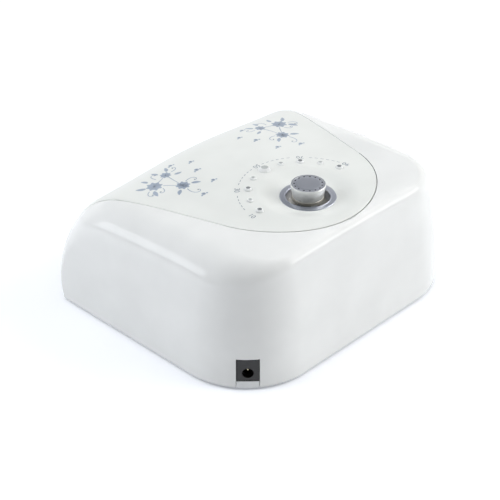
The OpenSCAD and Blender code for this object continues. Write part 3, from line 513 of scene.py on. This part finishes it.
# the inner wall follows every few rows, moved in by the wall, and thickens under the ledge
every, last = walls["innerEvery"], seamRow - walls["innerEnd"]
innerRows = np.array([*walls["innerLow"], inletRow, *range(inletRow + every, last - 1, every), last])
coarse = outer[:, innerRows]
along = np.gradient(outer, axis=0)[:, innerRows]
inward = -unit(np.cross(along, np.gradient(outer, axis=1)[:, innerRows]))
fromSeam = np.linalg.norm(coarse - outer[:, seamRow:seamRow + 1], axis=-1)
near = 1 - ease((fromSeam - walls["thickFrom"]) / walls["thickRun"])
inner = coarse + wall * inward
inner[..., 2] -= (thick - wall)[:, None] * near
inner[:, 0, 2] = edgeZ
seamNormal = unit(outer[:, seamRow] - outer[:, seamRow + 1])
under = outer[:, [seamRow + 2, seamRow + 1]] - (thick - stepAt)[:, None, None] * seamNormal[:, None]
atEnd = np.isin(np.arange(columnCount), (0, columnCount - 1))[:, None]
for part in (inner, under):
    part[..., 2] = np.where(atEnd, edgeZ, part[..., 2])  # both ends stand on the base's plane
ring = concatenate([outer, under, inner[:, ::-1]], axis=1)
ringCount = ring.shape[1]
shellQuads = gridFaces(columnCount, ringCount, False, True)

# the inlet's opening: its faces go, and a top and two sides join the outer wall to the inner
innerTop = ringCount - 1 - int(np.where(innerRows == inletRow)[0][0])
quadRow = np.tile(np.arange(ringCount), columnCount - 1)
quadColumn = np.repeat(np.arange(columnCount - 1), ringCount)
inletColumns = np.arange(inletFirst, inletLast)
cut = np.isin(quadColumn, inletColumns) & ((quadRow < inletRow) | (quadRow >= innerTop))
near, far = inletColumns * ringCount, (inletColumns + 1) * ringCount
lintel = np.stack([far + inletRow, near + inletRow, near + innerTop, far + innerTop], axis=-1)
post = concatenate([np.arange(inletRow, -1, -1), np.arange(ringCount - 1, innerTop - 1, -1)])
jambs = [post + inletFirst * ringCount, post[::-1] + inletLast * ringCount]
ends = [np.arange(ringCount), np.arange(ringCount)[::-1] + (columnCount - 1) * ringCount]
shell = addPiece("housing_shell", ring, concatenate([shellQuads[~cut], lintel]), "housing", "white_abs",
                 glossAbs, ["outer_shell"], jambs + ends, sharp=40)
gapShaded(shell, 1)
print("stage: housing shell", len(shell.data.polygons))


# top panel
panelCuts = {"arcSteps": 168, "sideSteps": 80, "lipSteps": 56, "dishRings": 30, "spreadRings": 46,
             "spreadPower": 0.85, "backRings": 17, "seatRadius": 16.03, "seatDepth": 0.8, "bore": 13.52}


def outline(off):
    # the panel's outline on the unrolled skin, anticlockwise: rear arc, left side, lip, right side
    angles = linspace(flare, math.pi - flare, panelCuts["arcSteps"] + 1)[:-1]
    arc = points(*polar((0, arcY), arcR + off, angles))
    top = arcY + (arcR + off) * math.sin(flare)
    low = lipV - off - seamOff
    share = linspace(0, 1, panelCuts["sideSteps"] + 1)[:-1]
    left, right = (points(seamX(v, off), v) for v in (mix(top, low, share), mix(low, top, share)))
    x = linspace(-1, 1, panelCuts["lipSteps"] + 1)[:-1] * seamX(low, off)
    return concatenate([arc, left * [-1, 1], points(x, low), right])


def panelRing(inset, share, radius):
    # a share of the way from a circle about the selector to the outline, drawn in from the seam
    edge = outline(-seamOff - inset)
    return mix(atKnob + radius * unit(edge - atKnob), edge, share)


# each ring: inset from the gap, share of the way out, the circle's radius, depth under the skin
bevel = list(zip(*seamEdge()))
panelEdge, thickness = housing["edgeRound"], panel["thick"]
seatR, seatZ, bore = (panelCuts[key] for key in ("seatRadius", "seatDepth", "bore"))
spread = linspace(0, 1, panelCuts["spreadRings"] + 1)[1:-1] ** panelCuts["spreadPower"]
rings = [(panelEdge, 0.0, r, 0.0) for r in (seatR, *linspace(dishIn, dishOut, panelCuts["dishRings"]))]
rings += [(panelEdge, share, dishOut, 0.0) for share in spread]
rings += [(inset, 1.0, dishOut, deep) for inset, deep in bevel]
rings += [(inset, 1.0, dishOut, thickness - deep) for inset, deep in bevel[::-1]]
rings += [(panelEdge, share, dishOut, thickness) for share in linspace(1, 0, panelCuts["backRings"])[1:]]
rings += [(panelEdge, 0.0, r, deep) for r, deep in ((bore, thickness), (bore, seatZ), (seatR, seatZ))]
flat = np.stack([panelRing(*row[:3]) for row in rings])
sheet = raised(flat[..., 0], flat[..., 1], -np.array([row[3:] for row in rings]))
topPanel = addPiece("printed_panel", sheet, gridFaces(*sheet.shape[:2], True, True)[:, ::-1], "housing",
                    "white_abs", panelAbs, ["top_panel"], sharp=40)
gapShaded(topPanel, -1)
print("stage: panel", len(topPanel.data.polygons))


# selector: ring, cup, knob and its collar
selector = {"rise": 0.4, "wellDepth": 6.0, "knobHeight": 9.4, "sink": 1.5, "roof": 2.8, "turns": 160,
            "rimUp": 0.97, "rimFrom": 0.02}
ringTop = dishZ + selector["rise"]
skirtZ = ringTop - selector["sink"]
knobTop = skirtZ + selector["knobHeight"]
levels = {"dish": dishZ, "ring": ringTop, "well": ringTop - selector["wellDepth"], "skirt": skirtZ,
          "roof": knobTop - selector["roof"], "top": knobTop}

# ABS, plated over a satin mould: a dull mirror, a little bluer than the knob
satinChrome = grained("satin_chrome", "#c6c9d4", "#d8dbe4", (0.26, 0.36), 0.3, 0.004, Metallic=1.0)
# ABS, pearl plated over a blasted mould: a soft bright side, half mirror and half white
pearlChrome = grained("pearl_chrome", "#eeefec", "#f5f6f3", (0.26, 0.34), 0.5, 0.001, Metallic=0.4)
# brass, nickel plated: the well and the collar have a warm dark sheen
nickelCup = grained("nickel_plate", "#bcb8ac", "#ccc8bd", (0.26, 0.36), 0.5, 0.002, Metallic=0.6)
# aluminium, spun and anodised grey: the even satin disc in the knob's top
greyAnodised = grained("grey_anodised", "#a8abb3", "#b8bbc3", (0.30, 0.40), 0.35, 0.006, Metallic=0.8)
# aluminium, bead blasted and anodised: the slightly paler band around the disc
bandAnodised = grained("band_anodised", "#b0b3bb", "#c0c3cb", (0.28, 0.38), 0.35, 0.004, Metallic=0.8)
# enamel, wiped into the pits and left matt: small black dots
pitPaint = grained("pit_paint", "#23252c", "#2c2e36", (0.45, 0.55), 0.2, 0.002, IOR=1.5)

# each corner of a profile: radius, level, height above it, how far it is rounded
turnedPlan = {
    "bezel_ring_piece": ("housing", "chromed", satinChrome, "bezel_ring", (
        (12.3, "well", 0, 0.05), (13.5, "well", 0, 0.05), (13.5, "ring", -1.2, 0.05),
        (16.0, "ring", -1.2, 0.05), (16.0, "ring", -0.05, 0.35), (13.35, "ring", -0.05, 0.1),
        (13.2, "ring", 0.16, 0.12), (12.75, "ring", 0.16, 0.2), (12.3, "ring", -0.5, 0.3))),
    "well_cup": ("housing", "dark_abs", nickelCup, "bezel_cup", (
        (3.5, "well", -1.5, 0.1), (15.5, "well", -1.5, 0.3), (15.5, "dish", -2.4, 0.3),
        (13.5, "dish", -2.4, 0.05), (13.5, "well", 0, 0.05), (3.5, "well", 0, 0.1))),
    "knob_shell": ("knob", "chromed_knob", pearlChrome, "knob_body", (
        (3.05, "skirt", 0, 0.05), (5.0, "skirt", 0, 0.1), (5.0, "roof", 0, 0.1), (7.7, "roof", 0, 0.1),
        (7.1, "skirt", 0, 0.05), (8.3, "skirt", 0, 0.1), (8.3, "skirt", 1.6, 0.05), (8.7, "skirt", 1.6, 0.1),
        (10.0, "top", -0.5, 0.3), (9.7, "top", -0.1, 0.1), (9.6, "top", 0, 0.1), (8.75, "top", 0, 0.08),
        (8.7, "top", -1.0, 0.05), (3.05, "top", -1.0, 0.05))),
    "knob_collar_piece": ("knob", "chromed", nickelCup, "knob_collar", (
        (8.3, "skirt", 0, 0.05), (9.0, "skirt", 0, 0.2), (9.0, "skirt", 1.6, 0.2),
        (8.3, "skirt", 1.6, 0.05))),
}
for name, (body, slotName, finish, replaced, corners) in turnedPlan.items():
    # the profile, its corners rounded, carried around the selector's axis
    line = rounded([(r, levels[level] + up) for r, level, up, _ in corners], [row[3] for row in corners])
    verts = points(*polar(atKnob, line[:, 0], around(selector["turns"])), line[:, 1])
    made = addPiece(name, verts, gridFaces(*verts.shape[:2], True, True), body, slotName, finish, [replaced],
                    sharp=30)
    if name == "knob_shell":  # its flat rim is polished as the band of the cap is
        facing, middles = faceFacts(made)
        rim = (facing[:, 2] > selector["rimUp"]) & (middles[:, 2] > knobTop - selector["rimFrom"])
        facesGet(made, rim, bandAnodised)
print("stage: ring, cup and knob")


# knob cap: a spun disc in a paler band with small pits; radii as (first, last, how many)
capCuts = {"top": knobTop - 0.03, "under": 1.0, "disc": 6.9, "groove": 0.12, "step": (0.4, 0.5), "dots": 15,
           "dotRing": 7.85, "dotRadius": 0.42, "dotDepth": 0.3, "dotEdge": 0.12, "dark": (0.06, 0.7),
           "discRadii": ((0.0, 0.0, 1), (1.2, 6.4, 6), (6.5, 6.9, 6)), "turns": 240,
           "bandRadii": ((6.92, 6.92, 1), (7.05, 8.5, 24), (8.6, 8.68, 2))}


def capHeight(r, a):
    # flat, with a shallow step down at the disc's edge and a round pit at each dot of the ring
    step = 2 * math.pi / capCuts["dots"]
    turn = (a + step / 2) % step - step / 2
    away = np.hypot(r * np.cos(turn) - capCuts["dotRing"], r * np.sin(turn))
    edge = capCuts["dotEdge"]
    pit = capCuts["dotDepth"] * (1 - ease((away - capCuts["dotRadius"] + edge) / (2 * edge)))
    back, run = capCuts["step"]
    band = capCuts["groove"] * ease((r - capCuts["disc"] + back) / run)
    return capCuts["top"] - band - pit


def capPiece(name, radii, material):
    # the cap's top from the first radius to the last, closed underneath
    a = around(capCuts["turns"])
    r = concatenate([linspace(*run) for run in radii])[None, ::-1] + 0 * a
    z = capHeight(r, a)
    low = 0 * a + knobTop - capCuts["under"]
    r, z = concatenate([r, r[:, -1:], r[:, :1]], axis=1), concatenate([z, low, low], axis=1)
    return addPiece(name, points(*polar(atKnob, r, a), z), gridFaces(*z.shape, True, True), "knob",
                    "cap_blue", material, ["knob_cap"])


capPiece("cap_disc", capCuts["discRadii"], greyAnodised)
bandPiece = capPiece("cap_band", capCuts["bandRadii"], bandAnodised)
deep = capCuts["top"] - faceFacts(bandPiece)[1][:, 2]
facesGet(bandPiece, (deep > capCuts["groove"] + capCuts["dark"][0]) & (deep < capCuts["dark"][1]), pitPaint)
print("stage: knob cap")


# stones: their radii, and (radius, height) of a cut in shares of the stone's radius
stoneCuts = {"arc": 33.4, "step": 20.0, "lean": 0.3, "small": 1.9, "main": 2.4, "centre": 3.75,
             "table": (0.55, 0.42), "star": (0.80, 0.26), "between": 0.86, "girdle": (0.02, -0.08),
             "back": (0.5, -0.34), "point": -0.5, "lift": 0.23, "tableUp": 0.97, "backDown": -0.3}


def cutStone(centre, radius, turn):
    # sixteen columns: an eight-sided table, star tips between its corners, a girdle, a pointed back
    odd = np.arange(16) % 2 == 1
    (tableR, tableZ), (starR, starZ), (backR, backZ) = (stoneCuts[key] for key in ("table", "star", "back"))
    table = np.where(odd, math.cos(math.pi / 8), 1.0) * tableR
    rise = np.where(odd, starZ, starZ * stoneCuts["between"])
    r = points(0, table, starR, 1, 1, backR, 0) * radius
    z = points(tableZ, tableZ, rise, *stoneCuts["girdle"], backZ, stoneCuts["point"]) * radius
    verts = points(*polar(centre, r, around(16) + turn), centre[2] + stoneCuts["lift"] + z)
    return verts, gridFaces(16, 7, True)[:, ::-1]


def stoneGlass(name, dark, light, clear):
    # glass, moulded and polished, over foil: clear is the share of light that goes through
    return grained(name, dark, light, (0.04, 0.10), 0.8, 0.002, **{"IOR": 1.52, "Transmission Weight": clear})


# glass over white foil: the bevels flash white
bevelGlass = stoneGlass("bevel_glass", "#f6f8f7", "#fcfdfc", 0.15)
# aluminium foil, hot stamped on the back: a bright mirror
foil = grained("foil_back", "#e4e6e9", "#eff1f3", (0.06, 0.14), 0.8, 0.002, Metallic=1.0)
# the flat tables show the foil through the glass: pale in the small and centre stones, darker in the main
# stones
stoneKinds = {
    # painted reflection: the main stones' tables are a darker grey for the dark studio they mirror
    "stones_main": ("main_stones", (-4, -2, 2, 4), "main", ("painted_reflection_table", "#83878a", "#9a9ea0")),
    "stones_small": ("small_stones", (-3, -1, 1, 3), "small", ("pale_table", "#bcc0bf", "#c9cdcc")),
    "stone_centre": ("centre_stone", (0,), "centre", ("centre_table", "#c3c7c5", "#d2d6d4")),
}
for name, (node, members, size, glass) in stoneKinds.items():
    parts = []
    for i in members:
        turn = math.radians(i * stoneCuts["step"])
        x, y = stoneCuts["arc"] * math.sin(turn), knobY - stoneCuts["arc"] * math.cos(turn)
        parts.append(cutStone((x, y, float(topPoint(x, y)[2])), stoneCuts[size], stoneCuts["lean"] * i))
    made = addPiece(name, *joined(*parts), "housing", "crystal", bevelGlass, [node], sharp=3)
    up = faceFacts(made)[0][:, 2]
    facesGet(made, np.where(up > stoneCuts["tableUp"], 1, np.where(up < stoneCuts["backDown"], 2, 0)),
             stoneGlass(*glass, 0.2), foil)
print("stage: stones")


# printed ornament: a generic spray of flowers, leaves, tendrils and buds on each side, laid out flat in
# the unrolled panel (x across, v from rear to front) and lifted onto the skin
sprayPlan = {
    # centre, size, turn
    "flowers": (((51.5, -37), 4.9, 0.3), ((41, -24.5), 4.3, 1), ((39, -41), 3.4, 0.6)),
    # start, heading, length, bend; leaves have a width before it, and tendrils turns in place of it
    "stems": (((48, -33.5), 2.3, 9.5, -0.25), ((47, -38.5), 3.3, 5.5, 0.3),
              ((39.5, -38), 1.4, 10, 0.1)),
    "leaves": (((55, -33), 0.9, 6.4, 2.6, 0.5), ((56, -39), -0.5, 6, 2.4, -0.5),
               ((45, -22), 0.4, 5.6, 2.3, 0.5), ((36.5, -22.5), 2.7, 5.6, 2.2, -0.5),
               ((36, -43.5), 3.9, 5.4, 2.1, 0.5), ((41, -45), -1.2, 5.2, 2, -0.5),
               ((35.5, -37.5), 2.6, 4.8, 1.9, 0.5), ((51, -43), -1.6, 5, 2, 0.5)),
    "tendrils": (((42, -20), 1.3, 23, 0.95), ((57, -35), 0.4, 17, 0.95),
                 ((37, -26.5), 3.4, 19, -0.95), ((45.5, -42), -1.4, 18, -0.9),
                 ((34.5, -41), 3, 15, 0.95), ((50, -31.5), 1.3, 15, -1)),
    "buds": (((24.5, -30.5), 1.35), ((26.5, -15), 1.2), ((40, -9), 1.25), ((29.5, -47), 1.2),
             ((20, -40), 1.1)),
    # half widths at start and end of each kind of line; petals and dots in shares of a flower
    "stem": (0.28, 0.2), "tendril": (0.27, 0.16), "vein": (0.13, 0.05), "mark": (0.16, 0.05),
    "petals": ((1, 0.5), (0.8, 0.36)), "heart": 0.24, "tip": 0.45, "lift": 0.03,
    "budDots": ((-1.5, 0.5), (0, 1), (1.5, 0.5)), "budDrop": 0.4,
}


def strip(line, half, across=3):
    # a ribbon along a line of points with a half width at each: (points, 2) of a grid and its quads
    side = unit(np.gradient(line, axis=0))[:, ::-1] * [-1, 1]
    s = linspace(-1, 1, across)[None, :, None]
    wide = half[:, None, None] * s
    return line[:, None] + side[:, None] * wide, gridFaces(len(line), across)


def stroke(line, kind):
    # a ribbon whose half width runs evenly between the two that its kind has
    return strip(line, linspace(*sprayPlan[kind], len(line)), 2)


def walked(start, turn, length):
    # the line of a walk from start with a direction and a length for each step
    step = points(np.cos(turn), np.sin(turn)) * length
    return np.asarray(start, float) + concatenate([[[0, 0]], np.cumsum(step[:-1], axis=0)])


def curve(start, heading, length, bend, count=14):
    # a line that leaves start in a heading and bends evenly by a whole angle
    return walked(start, heading + bend * linspace(0, 1, count), length / (count - 1))


def spiral(start, heading, size, turns, count=34):
    # a tendril: its bend tightens towards the tip
    t = linspace(0, 1, count)
    return walked(start, heading + turns * 2 * math.pi * t ** 1.6, (size * (1.05 - t))[:, None] / count)


def leaf(start, heading, length, width, bend):
    # widest a little behind its middle, and pointed at both ends
    line = curve(start, heading, length, bend)
    t = linspace(0, 1, len(line))
    return strip(line, 0.5 * width * np.sin(math.pi * t ** 0.8) ** 0.8 + 0.02)


def vein(start, heading, length, width, bend):
    # the line up the middle of a leaf
    return stroke(curve(start, heading, 0.8 * length, 0.8 * bend, 8), "vein")


def petal(centre, heading, length, width):
    # a drop with its round end outside, which leaves the flower's heart free
    line = curve(polar(centre, 0.16 * length, heading), heading, 0.84 * length, 0.0)
    t = linspace(0, 1, len(line))
    return strip(line, 0.5 * width * np.sqrt(clipped(np.sin(math.pi * (0.08 + 0.92 * t ** 0.75)))))


def dot(centre, radius):
    # rings of points about a centre
    shape = points(*polar(centre, np.array([0.0, 0.5, 1.0]) * radius, around(14)))
    return shape, gridFaces(14, 3, True)[:, ::-1]


spray = {"middle": [], "dark": []}
for centre, size, turn in sprayPlan["flowers"]:
    # two rows of eight narrow petals, a darker heart and a dark mark up each outer petal
    headings = turn + np.arange(8) * 2 * math.pi / 8
    for shift, (length, width) in zip((0, math.pi / 8), sprayPlan["petals"]):
        spray["middle"] += [petal(centre, h, length * size, width * size) for h in headings + shift]
    spray["dark"] += [stroke(curve(polar(centre, 0.25 * size, h), h, 0.55 * size, 0.0, 6), "mark")
                      for h in headings] + [dot(centre, sprayPlan["heart"] * size)]
for stem in sprayPlan["stems"]:
    spray["middle"].append(stroke(curve(*stem, 16), "stem"))
for row in sprayPlan["leaves"]:
    spray["middle"].append(leaf(*row))
    spray["dark"].append(vein(*row))
for row in sprayPlan["tendrils"]:
    line = spiral(*row)
    spray["middle"].append(stroke(line, "tendril"))
    spray["dark"].append(dot(line[-1], sprayPlan["tip"]))
for centre, size in sprayPlan["buds"]:
    # a closed bud: three dots in a row, the middle one larger
    for shift, share in sprayPlan["budDots"]:
        at = (centre[0] + shift * size, centre[1] + sprayPlan["budDrop"] * abs(shift) * size)
        spray["middle"].append(dot(at, share * size))
    spray["dark"].append(dot(centre, sprayPlan["tip"] * size))
for ink in spray:
    # the same spray on both sides, the far one mirrored
    spray[ink] += [(shape * [-1, 1], quads[:, ::-1]) for shape, quads in spray[ink]]


def printPiece(name, shapes, ink):
    # flat shapes as one skin of ink, just above the panel
    flat, quads = joined(*shapes)
    verts = raised(flat[:, 0], flat[:, 1], sprayPlan["lift"])
    return addPiece(name, verts, quads, "housing", "white_abs", ink, sharp=60)


printPiece("print_leaves", spray["middle"], inkMiddle)
printPiece("print_hearts", spray["dark"], inkDark)

# the scale: dashes on an arc about the selector, plain numbers by every second stone, in degrees
scaleCuts = {"radius": 39.5, "dashTurn": 2.7, "dashEvery": 4.8, "dashHalf": 0.16, "from": -74.0, "to": 74.0,
             "numbers": {82.0: "10", 41.0: "30", 0.0: "50", -41.0: "70", -81.0: "90"}, "height": 3.1,
             "capital": 0.7, "clear": 5.4}


def onArc(radius, turn):
    # turn in radians from the front, anticlockwise seen from above
    return points(radius * np.sin(turn), knobY - radius * np.cos(turn))


dashes = []
for middle in np.arange(scaleCuts["from"], scaleCuts["to"] + 0.1, scaleCuts["dashEvery"]):
    if min(abs(middle - at) for at in scaleCuts["numbers"]) > scaleCuts["clear"]:
        turn = np.radians(middle + linspace(-0.5, 0.5, 5) * scaleCuts["dashTurn"])
        dashes.append(strip(onArc(scaleCuts["radius"], turn), np.full(5, scaleCuts["dashHalf"]), 2))
printPiece("print_dashes", dashes, inkDark)


def numberShape(text, middle):
    # digits made a mesh, set to their height (a capital is 0.7 of the font's size), bent along the arc
    words = bpy.data.curves.new("number", "FONT")
    words.body, words.size, words.align_x, words.resolution_u = text, 1.0, "CENTER", 3
    holder = inScene("number", words)
    bpy.context.view_layer.update()
    shape = holder.evaluated_get(bpy.context.evaluated_depsgraph_get()).to_mesh()
    shape.calc_loop_triangles()
    x, y, _ = threes(shape.vertices, "co").T * scaleCuts["height"] / scaleCuts["capital"]
    tris = threes(shape.loop_triangles, "vertices", int)
    holder.to_mesh_clear()
    bpy.data.objects.remove(holder)
    bpy.data.curves.remove(words)
    radius = scaleCuts["radius"]
    return (onArc(radius + 0.5 * scaleCuts["height"] - y, math.radians(middle) + x / radius),
            concatenate([tris, tris[:, :1]], axis=1))


printPiece("print_numbers", [numberShape(text, at) for at, text in scaleCuts["numbers"].items()], inkDark)
print("stage: print")


# FR-4 board under a green solder mask, screen printed: a soft green shine
greenMask = grained("green_mask_board", "#1f5536", "#28623f", (0.25, 0.35), 1.5, 0.02, IOR=1.5)
# the same under a white mask, for the lamp boards
whiteMask = grained("white_mask_board", "#dcdfe2", "#e6e9eb", (0.25, 0.35), 1.5, 0.02, IOR=1.5)
# phosphor under cast epoxy: yellow and glossy
phosphor = grained("emitter_phosphor", "#e9cf62", "#f2dd7e", (0.15, 0.22), 0.6, 0.004, IOR=1.5)
# clear epoxy, cast: the pale blue shine of an unlit indicator
ledEpoxy = grained("led_epoxy", "#dfe9f5", "#eaf1fa", (0.08, 0.14), 1.0, 0.002, IOR=1.5)
# the solids that show as they are
solidFinishes = {
    satinAbs: "base_plate", reflectorAbs: "inner_hood", footRubber: "rubber_feet", nylon: "encoder_rotor",
    darkAbs: "encoder_body", blackAbs: "board_parts jack_body", tinnedBrass: "jack_pin",
    wirePvc: "jack_leads led_leads", greenMask: "control_board", whiteMask: "led_board side_led_boards",
    phosphor: "led_emitters side_led_emitters", ledEpoxy: "indicator_leds",
    zincSteel: "base_screws hood_screws encoder_shaft encoder_washer encoder_nut encoder_pins switch_dome "
               "board_screws led_board_screws jack_contacts",
}
for finish, names in solidFinishes.items():
    for place in [slot for name in names.split() for slot in nodes[name].material_slots]:
        place.material = finish
print("stage: solids finished")


# studio: a pale floor that fades to white, a white card, eight soft lamps, the photograph's camera
studio = {
    "floor": "#f4f5f7", "floorHalf": 6.0, "floorGlow": 0.23, "glowTint": "#eef4ff", "fade": (0.45, 1.1),
    "fadeTo": 1.2, "world": 0.1, "worldTint": "#eef4fd", "mirror": 0.3,
    "backdrop": {"away": 1.6, "from": 110, "to": 250, "top": 0.8, "steps": 33},
    # bearing from the camera, height angle, distance, width, height, watts, shown in gloss
    "lamps": {
        "right": (88, 14, 1.5, 0.9, 0.4, 4.2, True), "right_high": (98, 38, 1.5, 1.0, 0.8, 4.4, True),
        "right_fill": (84, 34, 1.5, 0.8, 1.0, 5.3, False), "back": (136, 50, 1.5, 1.0, 0.5, 1.3, True),
        "left": (-82, 13, 1.5, 0.62, 0.4, 1.7, True), "left_fill": (-94, 36, 1.5, 1.0, 1.0, 11.2, False),
        "top": (0, 86, 1.6, 1.6, 1.6, 8.9, False), "front": (0, 60, 1.6, 1.2, 1.2, 2.2, False)},
    "cool": "#f7faff", "aim": (0.0, 0.0, 0.04),
    "camera": {"azimuth": 133.952, "elevation": 32.87, "lens": 111.48, "at": (0.5554, 0.5237, 0.5171)},
}
view = studio["camera"]


def sheetPiece(name, verts, faces, paper, shadow):
    # a bare sheet of the studio
    mesh = bpy.data.meshes.new(name)
    mesh.from_pydata(verts, [], faces)
    made = inScene(name, mesh)
    mesh.materials.append(paper)
    made.visible_shadow = shadow


# seamless paper, matt: a floor far past the frame that fades to plain white and is open from below
paper, tree, shader, out = newFinish("studio_paper", {"Base Color": linear(studio["floor"]),
                                                      "Roughness": 0.9})
rays = addNode(tree, "LightPath").outputs
seen = addNode(tree, "Math", {}, {0: rays["Is Camera Ray"], 1: rays["Is Glossy Ray"]}, operation="MAXIMUM")
geometry = addNode(tree, "NewGeometry").outputs
away = addNode(tree, "VectorMath", {}, {0: geometry["Position"]}, operation="LENGTH")
fade = addNode(tree, "MapRange", {"From Min": studio["fade"][0], "From Max": studio["fade"][1],
                                  "To Min": studio["floorGlow"], "To Max": studio["fadeTo"]},
               {"Value": away.outputs["Value"]})
level = addNode(tree, "MapRange", {"To Min": studio["floorGlow"]},
                {"Value": rays["Is Camera Ray"], "To Max": fade})
glow = addNode(tree, "Emission", {"Color": linear(studio["glowTint"])}, {"Strength": level})
shown = addNode(tree, "MixShader", {}, {0: seen, 2: glow})
both = addNode(tree, "AddShader", {}, {0: shader, 1: shown})
sided = addNode(tree, "MixShader", {}, {0: geometry["Backfacing"], 1: both,
                                        2: addNode(tree, "BsdfTransparent")})
tree.links.new(sided.outputs[0], out.inputs["Surface"])
s = studio["floorHalf"]
sheetPiece("floor_sheet", [(-s, -s, 0), (s, -s, 0), (s, s, 0), (-s, s, 0)], [(0, 1, 2, 3)], paper, True)

# matt card behind the object, bent about it: bright in mirrors and gloss, and faint to all else
card = studio["backdrop"]
paper, tree, shader, out = newFinish("backdrop_paper", {"Base Color": linear("#000000"), "Roughness": 1.0})
rays = addNode(tree, "LightPath").outputs
power = addNode(tree, "MapRange", {"To Min": 1.0, "To Max": studio["world"]},
                {"Value": rays["Is Diffuse Ray"]})
glow = addNode(tree, "Emission", {"Color": (1, 1, 1, 1)}, {"Strength": power.outputs[0]})
tree.links.new(glow.outputs[0], out.inputs["Surface"])
turn = np.radians(linspace(card["from"], card["to"], card["steps"]) + view["azimuth"] - 90)[:, None]
verts = points(*polar((0, 0), card["away"], turn), np.array([0.0, card["top"]])).reshape(-1, 3)
sheetPiece("backdrop_card", verts.tolist(), gridFaces(card["steps"], 2).tolist(), paper, False)

# the world: white to the camera, bright in mirrors and glass, and a faint cool fill on all else
world = bpy.data.worlds.new("studio_world")
scene.world = world
world.use_nodes = True
tree = world.node_tree
back = [n for n in tree.nodes if n.bl_idname == "ShaderNodeBackground"][0]
rays = addNode(tree, "LightPath").outputs
mirrorRays = addNode(tree, "Math", {}, {0: rays["Is Glossy Ray"], 1: rays["Is Transmission Ray"]},
                     operation="MAXIMUM")
mirrored = addNode(tree, "MapRange", {"To Min": studio["world"], "To Max": studio["mirror"]},
                   {"Value": mirrorRays})
power = addNode(tree, "MapRange", {"To Max": 1.0}, {"Value": rays["Is Camera Ray"], "To Min": mirrored})
tree.links.new(power.outputs[0], back.inputs["Strength"])
tint = addNode(tree, "Mix", {6: linear(studio["worldTint"]), 7: (1, 1, 1, 1)}, {0: rays["Is Camera Ray"]},
               data_type="RGBA")
tree.links.new(tint.outputs[2], back.inputs["Color"])

aim = Vector(studio["aim"])
for name, (bearing, rise, away, width, height, watts, shine) in studio["lamps"].items():
    lamp = bpy.data.lights.new("lamp_" + name, "AREA")
    lamp.shape, lamp.size, lamp.size_y, lamp.energy = "RECTANGLE", width, height, watts
    lamp.color = linear(studio["cool"] if bearing < 0 else "#ffffff")[:3]
    turn, lift = math.radians(bearing + view["azimuth"] - 90), math.radians(rise)
    toLamp = Vector((*polar((0, 0), math.cos(lift), turn), math.sin(lift)))
    holder = inScene("lamp_" + name, lamp)
    holder.location = aim + away * toLamp
    holder.rotation_euler = (aim - holder.location).to_track_quat("-Z", "Y").to_euler()
    holder.visible_glossy = shine

lens = bpy.data.cameras.new("camera")
lens.lens, lens.sensor_width, lens.sensor_fit = view["lens"], 36.0, "HORIZONTAL"
lens.clip_start, lens.clip_end = 0.05, 20.0
camera = inScene("camera", lens)
camera.location = view["at"]
camera.rotation_euler = (math.radians(90 - view["elevation"]), 0, math.radians(view["azimuth"]))
scene.camera = camera
scene.view_settings.view_transform = "Standard"
